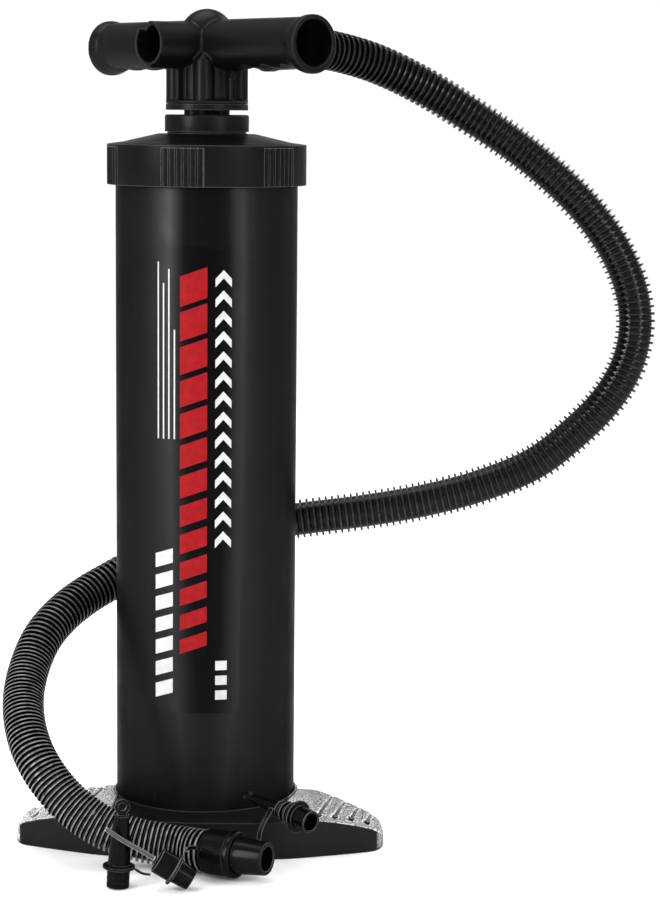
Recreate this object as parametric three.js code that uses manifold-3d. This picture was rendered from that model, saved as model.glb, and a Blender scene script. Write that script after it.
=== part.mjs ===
// Double action hand pump with a corrugated hose and three valve adapters.
// Millimetres, +Z up, the barrel's axis is Z, the foot's long side is X and its front faces -Y.
import * as THREE from "three";
import { mergeVertices } from "three/addons/utils/BufferGeometryUtils.js";
import Module from "manifold-3d";

const wasm = await Module();
wasm.setup();

// ---------------------------------------------------------------- driving dimensions

const GAP = 0.3; // between pieces that touch
const STROKE = 250;
const HALF_TURN = Math.PI;
const QUARTER_TURN = Math.PI / 2;

// foot
const FOOT_HALF_LENGTH = 107;
const FOOT_FRONT = 74.5;
const FOOT_BACK_R = 55.2;
const FOOT_TOP = 21.5;
const FOOT_FLOOR = 4; // floor under the barrel
const BEAD_TOP = 22.3;
const BEAD_WIDTH = 1.4; // the fine raised ring round the barrel
const FOOT_DEPTH = FOOT_FRONT + FOOT_BACK_R;
const TREADS_PER_SIDE = 4; // grooves across each foot rest
const TREAD_FIRST_X = 69;
const TREAD_PITCH = 9.2;
const TREAD_HALF_WIDTH = 0.9;
const TREAD_DEPTH = 1.3;
const TREAD_FRONT = -56; // where the first groove starts; each next one starts a little further back
const TREAD_FRONT_STEP = 3.4;
const UNDERSIDE_POCKETS = [ // hollows that save weight under each foot rest
  { x: 62, half: 6, back: -12 },
  { x: 77, half: 6, back: -24 },
  { x: 91, half: 4, back: -32 },
];
const POCKET_FRONT = -48;
const POCKET_SKIN = 7; // left above a hollow

// barrel and its end plug
const BARREL_R = 52.6;
const BARREL_BORE_R = 49.6;
const BARREL_TOP = 395;
const BARREL_SIDES = 36;
const PLUG_TOP = 12;
const PLUG_SEAL_FROM = 6.6;
const PLUG_SEAL_TO = 9.4;
const FOOT_SCREW_CIRCLE_R = 38;
const FOOT_COUNTERBORE = 2.5;

// label
const LABEL_FROM = -120.3; // degrees about Z
const LABEL_TO = -63.8;
const LABEL_BOTTOM = 80;
const LABEL_TOP = 346;

// cap
const CAP_R = 57.5;
const CAP_BOTTOM = 379.8;
const CAP_RIM_TOP = 403;
const CAP_PLATE_UNDERSIDE = 397.6;
const NECK_R = 22.75;
const NECK_TOP = 410.1;
const GRIP_GROUPS = 6; // shallow recesses in the cap's skirt
const GRIP_FIRST_ANGLE = 21; // degrees about Z
const GRIP_WIDTH = 24; // degrees
const GRIP_DEPTH = 0.9;

// rod: two tubes side by side
const ROD_TUBE_R = 7.4;
const ROD_BORE_R = 5.2;
const ROD_WAIST = 3; // half width of the web between the tubes
const ROD_CLEARANCE = 0.35;
const ROD_BOTTOM = 24.6;
const ROD_TOP = 445;

// rod guide, which turns in the cap
const GUIDE_R = 19;
const COLLAR_R = 24.25;
const COLLAR_BOTTOM = NECK_TOP + GAP;
const COLLAR_TOP = 419.9;
const BUMPER_HEIGHT = 5;
const RETAINER_R = 25; // the ring under the cap that keeps the guide in
const RETAINER_BOTTOM = 391.5;

// piston
const PISTON_R = 48.6;
const PISTON_BOTTOM = 14;
const PISTON_SIDES = 30;
const PISTON_SPLIT = 24; // where the two plates meet
const PISTON_DECK = 33.5; // top face outside the rod's collar
const PISTON_TOP = 36;
const PISTON_SEAL_R = 49.3;
const PISTON_HUB_R = 43;
const PISTON_SCREW_CIRCLE_R = 36;
const VALVE_CIRCLE_R = 30;
const VALVE_DISC_R = 5;
const VALVE_LIFT = 2;
const FLAP_RECESS_R = 6.8;
const FLAP_RECESS = 2.2;
const FLAP_THICKNESS = 1.4;
const UPPER_RECESS_FLOOR = 31.6;

// handle
const HANDLE_TURN = -46; // degrees about Z, from +X to the handle's right arm
const HANDLE_Z = 459.5;
const ARM_R = 14.2;
const ARM_SIDES = 20;
const ARM_BORE_R = 13; // at the mouth
const ARM_INNER_R = 10.4; // behind the finger grooves
const ARM_HALF_LENGTH = 93.3;
const ARM_FLANGE_R = 16.2;
const ARM_FLANGE_DROP = 0.8; // the flange's centre is this much under the arm's axis
const FINGER_GROOVES = 3; // under each arm
const FINGER_FIRST_X = 41;
const FINGER_PITCH = 17;
const FINGER_DEPTH = 2.6;
const PORT_R = 12.5;
const PORT_BORE_R = 10.7;
const PORT_LENGTH = 43; // from the barrel's axis to the port's end
const DOME_R = 15.7;
const DOME_TOP = 480;
const HOUSING_BOTTOM = 422.4;
const HOUSING_R = 23.7;
const HOUSING_FLANGE = 3.3;
const HOUSING_BASE = 1.8; // thickness of the round plate under the hub and the bosses
const HUB_R = 17.5;
const FLANGE_COUNTERBORE = 1.9;
const BOSS_CIRCLE_R = 18;
const BOSS_R = 5.6;

// hose and its fittings
const HOSE_R = 12;
const HOSE_BORE_R = 8;
const HOSE_SIDES = 12;
const HOSE_STEP = 25; // length of one straight step of the tube
const UPPER_CUFF_END = 66; // from the barrel's axis, along the hose port
const END_FITTING_LENGTH = 38;

const HOSE_SPLIT = 0.636; // share of the hose that is above its crossing behind the barrel

// The hose's centre line, from the cuff on the handle to the fitting on the floor.
const HOSE_ROUTE = [
  [47.9, 46.3, 459.5], [60, 57.8, 459.2], [72, 68, 457.8], [96, 83, 451], [123, 93, 438.5],
  [151, 98, 422], [180, 99, 403], [205, 97, 383.5], [226, 95, 363], [243, 92, 339.5],
  [253, 90, 316], [256, 88, 293], [251.5, 86, 270], [239.5, 84, 248.5], [220, 82, 228],
  [196, 80, 209], [165, 78, 195.5], [129, 76, 185.5], [91, 74.5, 178.5], [51, 73.5, 173],
  [24, 73, 168.5], [0, 72.5, 162.5], [-24, 70.5, 154.5], [-45, 63, 145.5], [-62, 52, 137],
  [-76, 38, 130], [-88, 18, 122], [-97, -2, 111.5], [-101.8, -21, 97.7], [-102.3, -40.5, 83.6],
  [-97.9, -59, 70], [-90, -73, 56.9], [-79, -82, 44.1], [-65.7, -87.5, 32.7], [-50.3, -91, 23.6],
  [-32.8, -92.8, 17.4], [-14.1, -94, 14.2], [-2.1, -96.6, 13.3], [10.2, -102.4, 13.7],
];

// ---------------------------------------------------------------- solids

const radians = THREE.MathUtils.degToRad;
const point = (x, y) => new THREE.Vector2(x, y);

// A geometry with its shared vertices merged, empty triangles dropped and its faces pointing out.
function closed(geometry) {
  const bare = new THREE.BufferGeometry();
  bare.setAttribute("position", geometry.getAttribute("position").clone());
  if (geometry.index) bare.setIndex(geometry.index.clone());
  const merged = mergeVertices(bare, 1e-3);
  const old = merged.index.array;
  const kept = [];
  const [a, b, c] = [new THREE.Vector3(), new THREE.Vector3(), new THREE.Vector3()];
  let volume = 0;
  for (let i = 0; i < old.length; i += 3) {
    const corners = [old[i], old[i + 1], old[i + 2]];
    if (new Set(corners).size < 3) continue;
    kept.push(...corners);
    [a, b, c].forEach((v, k) => v.fromBufferAttribute(merged.attributes.position, corners[k]));
    volume += a.dot(b.cross(c));
  }
  if (volume < 0) kept.reverse();
  merged.setIndex(kept);
  return merged;
}

function toSolid(geometry) {
  const { attributes, index } = closed(geometry);
  const vertProperties = attributes.position.array;
  const triVerts = new Uint32Array(index.array);
  return new wasm.Manifold(new wasm.Mesh({ numProp: 3, vertProperties, triVerts }));
}

function fromSolid(solid) {
  const mesh = solid.getMesh();
  const geometry = new THREE.BufferGeometry();
  geometry.setAttribute("position", new THREE.BufferAttribute(new Float32Array(mesh.vertProperties), 3));
  geometry.setIndex([...mesh.triVerts]);
  return geometry;
}

const join = (...shapes) => fromSolid(shapes.map(toSolid).reduce((all, next) => all.add(next)));
const overlap = (first, second) => fromSolid(toSolid(first).intersect(toSolid(second)));
const cut = (shape, ...tools) =>
  fromSolid(tools.map(toSolid).reduce((left, tool) => left.subtract(tool), toSolid(shape)));

// A profile of [radius, height] points turned about Z.
function lathe(profile, segments = 20) {
  const points = profile.map(([radius, height]) => point(radius, height));
  return new THREE.LatheGeometry(points, segments).rotateX(QUARTER_TURN);
}

const disc = (radius, bottom, top, segments) =>
  lathe([[0, bottom], [radius, bottom], [radius, top], [0, top]], segments);

const ring = (inner, outer, bottom, top, segments) =>
  lathe([[inner, bottom], [outer, bottom], [outer, top], [inner, top], [inner, bottom]], segments);

function prism(shape, bottom, top, curveSegments = 6) {
  const settings = { depth: top - bottom, bevelEnabled: false, curveSegments };
  return new THREE.ExtrudeGeometry(shape, settings).translate(0, 0, bottom);
}

const box = (xs, ys, zs) =>
  new THREE.BoxGeometry(xs[1] - xs[0], ys[1] - ys[0], zs[1] - zs[0]).translate(
    (xs[0] + xs[1]) / 2, (ys[0] + ys[1]) / 2, (zs[0] + zs[1]) / 2);

const alongX = (geometry) => geometry.rotateY(QUARTER_TURN); // +Z becomes +X
const alongY = (geometry) => geometry.rotateX(-QUARTER_TURN); // +Z becomes +Y
const standing = (geometry) => geometry.rotateX(QUARTER_TURN); // drawn in XY, stands in XZ

// The places of a ring of identical features: the angle and the point of each.
function around(count, radius, firstDegrees) {
  return Array.from({ length: count }, (_, i) => {
    const angle = radians(firstDegrees + (360 * i) / count);
    return { angle, x: radius * Math.cos(angle), y: radius * Math.sin(angle) };
  });
}

// ---------------------------------------------------------------- materials and nodes

const finish = (color, roughness, metalness = 0) => ({ color, roughness, metalness });
const SATIN_BLACK = finish(0x1b1b1d, 0.5);
const MATT_BLACK = finish(0x222224, 0.7);
const TREAD_GREY = finish(0x3a3a3c, 0.6);
const GLOSS_BLACK = finish(0x101012, 0.25);
const RUBBER = finish(0x141414, 0.8);
const RED = finish(0xc41f22, 0.45);
const NATURAL = finish(0xcfcfc8, 0.55);
const STEEL = finish(0xb8bcc0, 0.3, 1);

const pump = new THREE.Group();
const guideGroup = new THREE.Group();
const rodGroup = new THREE.Group();
guideGroup.rotation.z = radians(HANDLE_TURN);
rodGroup.rotation.z = radians(HANDLE_TURN);
pump.add(guideGroup, rodGroup);

function node(group, name, geometry, look) {
  const mesh = new THREE.Mesh(closed(geometry), new THREE.MeshStandardMaterial(look));
  mesh.name = name;
  group.add(mesh);
  return mesh;
}

// A pan head screw: the head's underside is at height 0 and the shank points up.
function screw(headR, headHeight, shankR, length) {
  return lathe([
    [0, -headHeight], [headR * 0.7, -headHeight], [headR, 0], [shankR, 0], [shankR, length - 1],
    [0, length],
  ], 8);
}

// ---------------------------------------------------------------- foot

// The foot's top line from the middle to one end, as [x, z].
const FOOT_TOP_LINE = [
  [0, FOOT_TOP], [68, FOOT_TOP], [80, 19.4], [92, 16.4], [101, 13.4], [105, 11],
  [FOOT_HALF_LENGTH, 7], [FOOT_HALF_LENGTH + 0.2, 0],
];

function footTopAt(x) {
  const next = FOOT_TOP_LINE.findIndex((p) => p[0] >= x);
  const [from, to] = [FOOT_TOP_LINE[next - 1], FOOT_TOP_LINE[next]];
  return THREE.MathUtils.mapLinear(x, from[0], to[0], from[1], to[1]);
}

// Seen from above: a bowed front, two foot rests, and a half round behind the barrel.
function footPlan() {
  const meetAngle = radians(3);
  const meet = point(FOOT_BACK_R * Math.cos(meetAngle), FOOT_BACK_R * Math.sin(meetAngle));
  const edge = new THREE.Path();
  edge.moveTo(0, -FOOT_FRONT);
  edge.splineThru([point(50, -70.5), point(79, -61), point(98, -53.5)]);
  edge.quadraticCurveTo(FOOT_HALF_LENGTH, -50, FOOT_HALF_LENGTH, -35);
  edge.splineThru([point(103, -24), point(83, -10.5), point(68, -0.5)]);
  edge.quadraticCurveTo(61, 4, meet.x, meet.y);
  edge.absarc(0, 0, FOOT_BACK_R, meetAngle, QUARTER_TURN, false);
  const right = edge.getPoints(3);
  const left = right.slice(1, -1).reverse().map((p) => point(-p.x, p.y));
  return new THREE.Shape([...right, ...left]);
}

function footBase() {
  const bothSides = [...FOOT_TOP_LINE].reverse().map(([x, z]) => point(-x, z));
  const oneSide = FOOT_TOP_LINE.slice(1).map(([x, z]) => point(x, z));
  const elevation = standing(prism(new THREE.Shape([...bothSides, ...oneSide]), -FOOT_DEPTH, FOOT_DEPTH));
  const plate = overlap(prism(footPlan(), 0, FOOT_TOP + 1), elevation);
  const bead = disc(BARREL_R + BEAD_WIDTH, FOOT_TOP - 2, BEAD_TOP, BARREL_SIDES);
  const seat = disc(BARREL_R + GAP, FOOT_FLOOR, BEAD_TOP + 1, BARREL_SIDES);

  const cuts = [];
  for (const side of [-1, 1]) {
    for (let i = 0; i < TREADS_PER_SIDE; i++) {
      const x = TREAD_FIRST_X + i * TREAD_PITCH;
      const top = footTopAt(x);
      const width = [side * x - TREAD_HALF_WIDTH, side * x + TREAD_HALF_WIDTH];
      cuts.push(box(width, [TREAD_FRONT + i * TREAD_FRONT_STEP, 20], [top - TREAD_DEPTH, top + 4]));
    }
    for (const { x, half, back } of UNDERSIDE_POCKETS) {
      const roof = footTopAt(x) - POCKET_SKIN;
      cuts.push(box([side * x - half, side * x + half], [POCKET_FRONT, back], [-1, roof]));
    }
  }
  for (const place of around(4, FOOT_SCREW_CIRCLE_R, 45)) {
    cuts.push(disc(2.3, -1, FOOT_FLOOR + 1, 8).translate(place.x, place.y, 0));
    cuts.push(disc(4.5, -1, FOOT_COUNTERBORE, 12).translate(place.x, place.y, 0));
  }
  return cut(join(plate, bead), seat, ...cuts);
}

node(pump, "foot_base", footBase(), TREAD_GREY);

// ---------------------------------------------------------------- barrel

const barrelTube = ring(BARREL_BORE_R, BARREL_R, FOOT_FLOOR + GAP, BARREL_TOP, BARREL_SIDES);
node(pump, "barrel", barrelTube, SATIN_BLACK);

function endPlug() {
  const [wall, groove] = [BARREL_BORE_R - 0.5, BARREL_BORE_R - 3.2];
  const bottom = FOOT_FLOOR + GAP;
  const [grooveFrom, grooveTo] = [PLUG_SEAL_FROM - GAP, PLUG_SEAL_TO + GAP];
  const body = lathe([
    [0, bottom], [wall, bottom], [wall, grooveFrom], [groove, grooveFrom], [groove, grooveTo],
    [wall, grooveTo], [wall, PLUG_TOP], [0, PLUG_TOP],
  ], BARREL_SIDES);
  const holes = around(4, FOOT_SCREW_CIRCLE_R, 45)
    .map(({ x, y }) => disc(2.3, bottom - 1, PLUG_TOP - 1.2, 8).translate(x, y, 0));
  return cut(body, ...holes);
}

node(pump, "barrel_end_plug", endPlug(), MATT_BLACK);
node(pump, "end_plug_seal", ring(BARREL_BORE_R - 2.9, BARREL_BORE_R - GAP, PLUG_SEAL_FROM,
  PLUG_SEAL_TO, BARREL_SIDES), RUBBER);

around(4, FOOT_SCREW_CIRCLE_R, 45).forEach(({ x, y }, i) => {
  const mesh = node(pump, `foot_screw_${i + 1}`, screw(4, 1.9, 1.9, 7.6), STEEL);
  mesh.position.set(x, y, FOOT_COUNTERBORE - GAP);
});

// A band between two radii and two angles.
function arcBand(inner, outer, from, to) {
  const shape = new THREE.Shape();
  shape.absarc(0, 0, outer, from, to, false);
  shape.absarc(0, 0, inner, to, from, true);
  return shape;
}

// A thin printed skin on the front of the barrel.
function labelSkin() {
  const inner = BARREL_R + GAP;
  const shape = arcBand(inner, inner + 0.4, radians(LABEL_FROM), radians(LABEL_TO));
  return prism(shape, LABEL_BOTTOM, LABEL_TOP, 8);
}

node(pump, "label_skin", labelSkin(), RED);

// ---------------------------------------------------------------- cap

function topCap() {
  const skirtBore = BARREL_R + 0.5;
  const guideBore = GUIDE_R + 0.4;
  const body = lathe([
    [skirtBore, CAP_BOTTOM], [CAP_R, CAP_BOTTOM], [CAP_R, CAP_RIM_TOP - 0.6],
    [CAP_R - 0.6, CAP_RIM_TOP], [48, 404.3], [28, 409], [NECK_R, 409], [NECK_R, NECK_TOP],
    [guideBore, NECK_TOP], [guideBore, CAP_PLATE_UNDERSIDE], [skirtBore, CAP_PLATE_UNDERSIDE],
    [skirtBore, CAP_BOTTOM],
  ], BARREL_SIDES);
  const recesses = around(GRIP_GROUPS, 0, GRIP_FIRST_ANGLE).map(({ angle }) => {
    const reach = radians(GRIP_WIDTH / 2);
    const shape = arcBand(CAP_R - GRIP_DEPTH, CAP_R + 2, angle - reach, angle + reach);
    return prism(shape, CAP_BOTTOM - 1, CAP_RIM_TOP - 2, 3);
  });
  return cut(body, ...recesses);
}

node(pump, "top_cap", topCap(), SATIN_BLACK);
node(pump, "cap_gasket", ring(BARREL_BORE_R + 0.6, BARREL_R - 0.2, BARREL_TOP + GAP,
  CAP_PLATE_UNDERSIDE - GAP, 28), RUBBER);

// ---------------------------------------------------------------- rod section

// The outline of the two rod tubes and the web between them, grown by a clearance.
function twinOutline(grow = 0, kind = THREE.Shape) {
  const radius = ROD_TUBE_R + grow;
  const bite = Math.asin((ROD_WAIST + grow) / radius);
  const outline = new kind();
  outline.absarc(0, ROD_TUBE_R, radius, bite - QUARTER_TURN, 3 * QUARTER_TURN - bite, false);
  outline.absarc(0, -ROD_TUBE_R, radius, bite + QUARTER_TURN, 5 * QUARTER_TURN - bite, false);
  outline.closePath();
  return outline;
}

function circle(x, y, radius) {
  const path = new THREE.Path();
  path.absarc(x, y, radius, 0, 2 * HALF_TURN, false);
  return path;
}

function twinTube() {
  const shape = twinOutline();
  for (const side of [-1, 1]) shape.holes.push(circle(0, side * ROD_TUBE_R, ROD_BORE_R));
  return shape;
}

// A round plate or bush with a hole that clears the rod.
function bushShape(radius) {
  const shape = new THREE.Shape(circle(0, 0, radius).getPoints(20));
  shape.holes.push(twinOutline(ROD_CLEARANCE, THREE.Path));
  return shape;
}

// ---------------------------------------------------------------- rod guide

const bumperBottom = PISTON_TOP + STROKE + 2 * GAP;
const sleeveBottom = bumperBottom + BUMPER_HEIGHT + GAP;
const sealBottom = COLLAR_BOTTOM + 2.2;
const sealTop = COLLAR_TOP - 3.3;

function guideCollar() {
  const body = lathe([
    [0, COLLAR_BOTTOM], [COLLAR_R, COLLAR_BOTTOM], [COLLAR_R, COLLAR_TOP - 0.8],
    [COLLAR_R - 0.8, COLLAR_TOP], [0, COLLAR_TOP],
  ], 28);
  const pocket = disc(GUIDE_R + GAP, COLLAR_BOTTOM - 1, sealTop + GAP, 24);
  return cut(body, pocket, prism(twinOutline(ROD_CLEARANCE), COLLAR_BOTTOM, COLLAR_TOP + 1));
}

node(guideGroup, "guide_sleeve", prism(bushShape(GUIDE_R), sleeveBottom, sealBottom - GAP), NATURAL);
node(guideGroup, "guide_collar", guideCollar(), SATIN_BLACK);
node(guideGroup, "rod_seal", prism(bushShape(GUIDE_R - 0.2), sealBottom, sealTop), RUBBER);
node(guideGroup, "guide_retainer", ring(GUIDE_R + GAP, RETAINER_R, RETAINER_BOTTOM,
  CAP_PLATE_UNDERSIDE - GAP), STEEL);
node(guideGroup, "stop_bumper", prism(bushShape(GUIDE_R), bumperBottom,
  bumperBottom + BUMPER_HEIGHT), RUBBER);

// ---------------------------------------------------------------- piston

node(rodGroup, "piston_rod", prism(twinTube(), ROD_BOTTOM, ROD_TOP), SATIN_BLACK);

// In the rod's frame the outlet tube is at +Y and the intake tube is at -Y.
const outletSeat = { x: 0, y: ROD_TUBE_R };
const transferSeat = { x: 0, y: -VALVE_CIRCLE_R };
const lowerFlap = { x: 0, y: -ROD_TUBE_R };
const upperFlap = { x: 0, y: VALVE_CIRCLE_R };
const valveSeatTop = PISTON_SPLIT - 1.5 - VALVE_LIFT - GAP;
const flapHoleR = 2.6;

function pistonLowerPlate() {
  const body = lathe([
    [0, PISTON_BOTTOM], [PISTON_R, PISTON_BOTTOM], [PISTON_R, 19], [PISTON_HUB_R, 19],
    [PISTON_HUB_R, PISTON_SPLIT], [0, PISTON_SPLIT],
  ], PISTON_SIDES);
  const well = ({ x, y }, radius, from, to, sides) => disc(radius, from, to, sides).translate(x, y, 0);
  const chamber = (seat) => well(seat, VALVE_DISC_R + 0.6, valveSeatTop, PISTON_SPLIT + 1, 16);
  const passage = (seat, radius) => well(seat, radius, PISTON_BOTTOM - 1, PISTON_SPLIT + 1, 12);
  const flapRecess = well(lowerFlap, FLAP_RECESS_R, PISTON_BOTTOM - 1, PISTON_BOTTOM + FLAP_RECESS, 16);
  const gallery = box([-3, 3], [-VALVE_CIRCLE_R, -ROD_TUBE_R], [valveSeatTop + 1.6, PISTON_SPLIT + 1]);
  const screwHoles = around(4, PISTON_SCREW_CIRCLE_R, 45)
    .map((place) => well(place, 1.8, PISTON_BOTTOM + 2, PISTON_SPLIT + 1, 8));
  return cut(body, chamber(outletSeat), chamber(transferSeat), passage(outletSeat, 3.5),
    passage(lowerFlap, flapHoleR), flapRecess, gallery, ...screwHoles);
}

function pistonUpperPlate() {
  const bottom = PISTON_SPLIT + GAP;
  const body = lathe([
    [0, bottom], [PISTON_HUB_R, bottom], [PISTON_HUB_R, 29], [PISTON_R, 29], [PISTON_R, PISTON_DECK],
    [22, PISTON_DECK], [20, PISTON_TOP], [0, PISTON_TOP],
  ], PISTON_SIDES);
  const hole = ({ x, y }, r) => disc(r, bottom - 1, PISTON_TOP + 1, 10).translate(x, y, 0);
  const flapRecess = disc(FLAP_RECESS_R, UPPER_RECESS_FLOOR, PISTON_TOP, 16)
    .translate(upperFlap.x, upperFlap.y, 0);
  const screwHoles = around(4, PISTON_SCREW_CIRCLE_R, 45).map((place) => hole(place, 1.8));
  return cut(body, prism(twinOutline(ROD_CLEARANCE), bottom - 1, PISTON_TOP + 1),
    hole(transferSeat, 3.2), hole(upperFlap, flapHoleR), flapRecess, ...screwHoles);
}

// A rubber flap valve: a thin dome with a stem that plugs into its hole, stem up.
function flapValve(stemLength) {
  return lathe([
    [0, 0], [4.5, 0.3], [6.2, 1], [6.2, FLAP_THICKNESS], [1.4, FLAP_THICKNESS], [1.4, stemLength],
    [2.1, stemLength + 0.6], [0, stemLength + 2],
  ], 12);
}

node(rodGroup, "piston_lower_plate", pistonLowerPlate(), MATT_BLACK);
node(rodGroup, "piston_upper_plate", pistonUpperPlate(), MATT_BLACK);
node(rodGroup, "piston_seal", ring(PISTON_HUB_R + GAP, PISTON_SEAL_R, 19.3, 28.7, PISTON_SIDES), RUBBER);

around(4, PISTON_SCREW_CIRCLE_R, 45).forEach(({ x, y }, i) => {
  const mesh = node(rodGroup, `piston_screw_${i + 1}`, screw(3.4, 1.8, 1.5, 15), STEEL);
  mesh.position.set(x, y, PISTON_DECK + GAP);
  mesh.rotation.x = HALF_TURN;
});

const lowerFlapMesh = node(rodGroup, "flap_valve_lower", flapValve(6.5), RUBBER);
lowerFlapMesh.position.set(lowerFlap.x, lowerFlap.y, PISTON_BOTTOM + 0.4);

const upperFlapMesh = node(rodGroup, "flap_valve_upper", flapValve(5), RUBBER);
upperFlapMesh.position.set(upperFlap.x, upperFlap.y, UPPER_RECESS_FLOOR + FLAP_THICKNESS + GAP);
upperFlapMesh.rotation.x = HALF_TURN;

for (const [name, seat] of [["valve_disc_outlet", outletSeat], ["valve_disc_transfer", transferSeat]]) {
  const mesh = node(rodGroup, name, disc(VALVE_DISC_R, 0, 1.2, 16), RUBBER);
  mesh.position.set(seat.x, seat.y, valveSeatTop + GAP / 3);
}

// ---------------------------------------------------------------- handle

const housingFloor = HOUSING_BOTTOM + HOUSING_FLANGE + GAP;
const socketTop = ROD_TOP + 2.1;

// One arm along +X with its end flange, centred on the handle's axis.
function handleArm() {
  const tube = alongX(disc(ARM_R, 0, ARM_HALF_LENGTH - 1, ARM_SIDES));
  const flange = alongX(lathe([
    [0, 82], [ARM_R - 1, 82], [ARM_R + 0.4, 86], [ARM_FLANGE_R, 90.3],
    [ARM_FLANGE_R, ARM_HALF_LENGTH - 0.5], [ARM_FLANGE_R - 0.5, ARM_HALF_LENGTH], [0, ARM_HALF_LENGTH],
  ], ARM_SIDES)).translate(0, 0, -ARM_FLANGE_DROP);
  const cuts = [
    alongX(disc(ARM_BORE_R, ARM_HALF_LENGTH - 11, ARM_HALF_LENGTH + 1, ARM_SIDES)),
    alongX(disc(ARM_INNER_R, 26, ARM_HALF_LENGTH, ARM_SIDES)),
  ];
  const radius = 9;
  for (let i = 0; i < FINGER_GROOVES; i++) {
    const groove = alongY(disc(radius, -ARM_R - 2, ARM_R + 2, 16));
    cuts.push(groove.translate(FINGER_FIRST_X + i * FINGER_PITCH, 0, FINGER_DEPTH - radius - ARM_R));
  }
  return cut(join(tube, flange), ...cuts);
}

// A curved web that braces the arm's underside against the column, in the XZ plane.
function armGusset() {
  const foot = housingFloor - HANDLE_Z;
  const web = new THREE.Shape();
  web.moveTo(8, foot);
  web.lineTo(HUB_R - 0.5, foot);
  web.lineTo(HUB_R + 0.3, foot + 4);
  web.quadraticCurveTo(HUB_R + 2, -17, 33, -ARM_R + 1);
  web.lineTo(33, -ARM_R + 1.5);
  web.lineTo(8, -ARM_R + 1.5);
  web.closePath();
  return standing(prism(web, -1.5, 1.5, 5));
}

function handleBody() {
  const floor = housingFloor - HANDLE_Z;
  const arm = handleArm();
  const gusset = armGusset();
  const port = alongY(disc(PORT_R, -PORT_LENGTH, PORT_LENGTH, ARM_SIDES));
  const dome = new THREE.SphereGeometry(DOME_R, ARM_SIDES, 10).rotateX(QUARTER_TURN);
  dome.translate(0, 0, DOME_TOP - HANDLE_Z - DOME_R);
  const column = disc(HUB_R, floor, 0, 24);
  const base = disc(HOUSING_R, floor, floor + HOUSING_BASE, 24);
  const webs = [
    box([-HOUSING_R + 1, HOUSING_R - 1], [-1.2, 1.2], [floor, -8]),
    box([-1.2, 1.2], [-HOUSING_R + 1, HOUSING_R - 1], [floor, -8]),
  ];
  const bosses = around(4, BOSS_CIRCLE_R, 45).map(({ x, y }) =>
    lathe([[0, floor], [BOSS_R, floor], [BOSS_R, -8.6], [0, -3]], 10).translate(x, y, 0));
  const lug = box([-1.6, 1.6], [-PORT_LENGTH + 1, -18], [-PORT_R - 1.4, -PORT_R + 1]);
  const solidBody = join(arm, arm.clone().rotateZ(HALF_TURN), port, dome, column, base, ...webs, ...bosses,
    gusset, gusset.clone().rotateZ(HALF_TURN), lug);

  const cuts = [
    prism(twinOutline(ROD_CLEARANCE), floor - 1, socketTop - HANDLE_Z),
    box([-9, 0], [-PORT_LENGTH - 1, -PORT_LENGTH + 5], [6, PORT_R + 1]),
  ];
  for (const side of [-1, 1]) {
    cuts.push(disc(ROD_BORE_R, floor, 0, 12).translate(0, side * ROD_TUBE_R, 0));
    const bore = alongY(disc(PORT_BORE_R, 3, PORT_LENGTH + 1, ARM_SIDES));
    cuts.push(side > 0 ? bore : bore.rotateZ(HALF_TURN));
  }
  for (const { x, y } of around(4, BOSS_CIRCLE_R, 45)) {
    cuts.push(disc(1.8, floor - 1, floor + 13, 8).translate(x, y, 0));
  }
  return cut(solidBody, ...cuts);
}

const handleMesh = node(rodGroup, "handle_body", handleBody(), SATIN_BLACK);
handleMesh.position.z = HANDLE_Z;

function socketFlange() {
  const plate = new THREE.Shape(circle(0, 0, HOUSING_R).getPoints(24));
  plate.holes.push(twinOutline(ROD_CLEARANCE, THREE.Path));
  const body = prism(plate, HOUSING_BOTTOM, HOUSING_BOTTOM + HOUSING_FLANGE);
  const cuts = around(4, BOSS_CIRCLE_R, 45).flatMap(({ x, y }) => [
    disc(1.8, HOUSING_BOTTOM - 1, HOUSING_BOTTOM + HOUSING_FLANGE + 1, 8).translate(x, y, 0),
    disc(3.5, HOUSING_BOTTOM - 1, HOUSING_BOTTOM + FLANGE_COUNTERBORE, 12).translate(x, y, 0),
  ]);
  return cut(body, ...cuts);
}

node(rodGroup, "socket_flange", socketFlange(), SATIN_BLACK);
node(rodGroup, "rod_top_gasket", prism(twinTube(), ROD_TOP + GAP, socketTop - GAP), RUBBER);

around(4, BOSS_CIRCLE_R, 45).forEach(({ x, y }, i) => {
  const mesh = node(rodGroup, `socket_screw_${i + 1}`, screw(3.1, 1.5, 1.5, 12), STEEL);
  mesh.position.set(x, y, HOUSING_BOTTOM + FLANGE_COUNTERBORE - GAP);
});

// ---------------------------------------------------------------- hose

const ORING_FROM = 33.7;
const ORING_TO = 36.7;

// The cuff that plugs into the hose port; its axis is the port's.
function upperCuff() {
  const spigot = PORT_BORE_R - GAP;
  const shoulder = PORT_LENGTH + GAP;
  return alongY(lathe([
    [HOSE_BORE_R, 24], [spigot, 24], [spigot, ORING_FROM], [spigot - 1.3, ORING_FROM],
    [spigot - 1.3, ORING_TO], [spigot, ORING_TO], [spigot, shoulder], [14, shoulder],
    [14.4, shoulder + 0.6], [14.4, 50], [13.6, 51.5], [12.8, UPPER_CUFF_END],
    [HOSE_BORE_R, UPPER_CUFF_END], [HOSE_BORE_R, 24],
  ]));
}

const cuffMesh = node(rodGroup, "hose_cuff_upper", upperCuff(), SATIN_BLACK);
cuffMesh.position.z = HANDLE_Z;

const cuffORing = alongY(ring(PORT_BORE_R - 1.3, PORT_BORE_R - 0.15, ORING_FROM + GAP, ORING_TO - GAP));
node(rodGroup, "cuff_oring", cuffORing, RUBBER).position.z = HANDLE_Z;

const smooth = (route, kind = "centripetal") =>
  new THREE.CatmullRomCurve3(route.map(([x, y, z]) => new THREE.Vector3(x, y, z)), false, kind);

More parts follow.
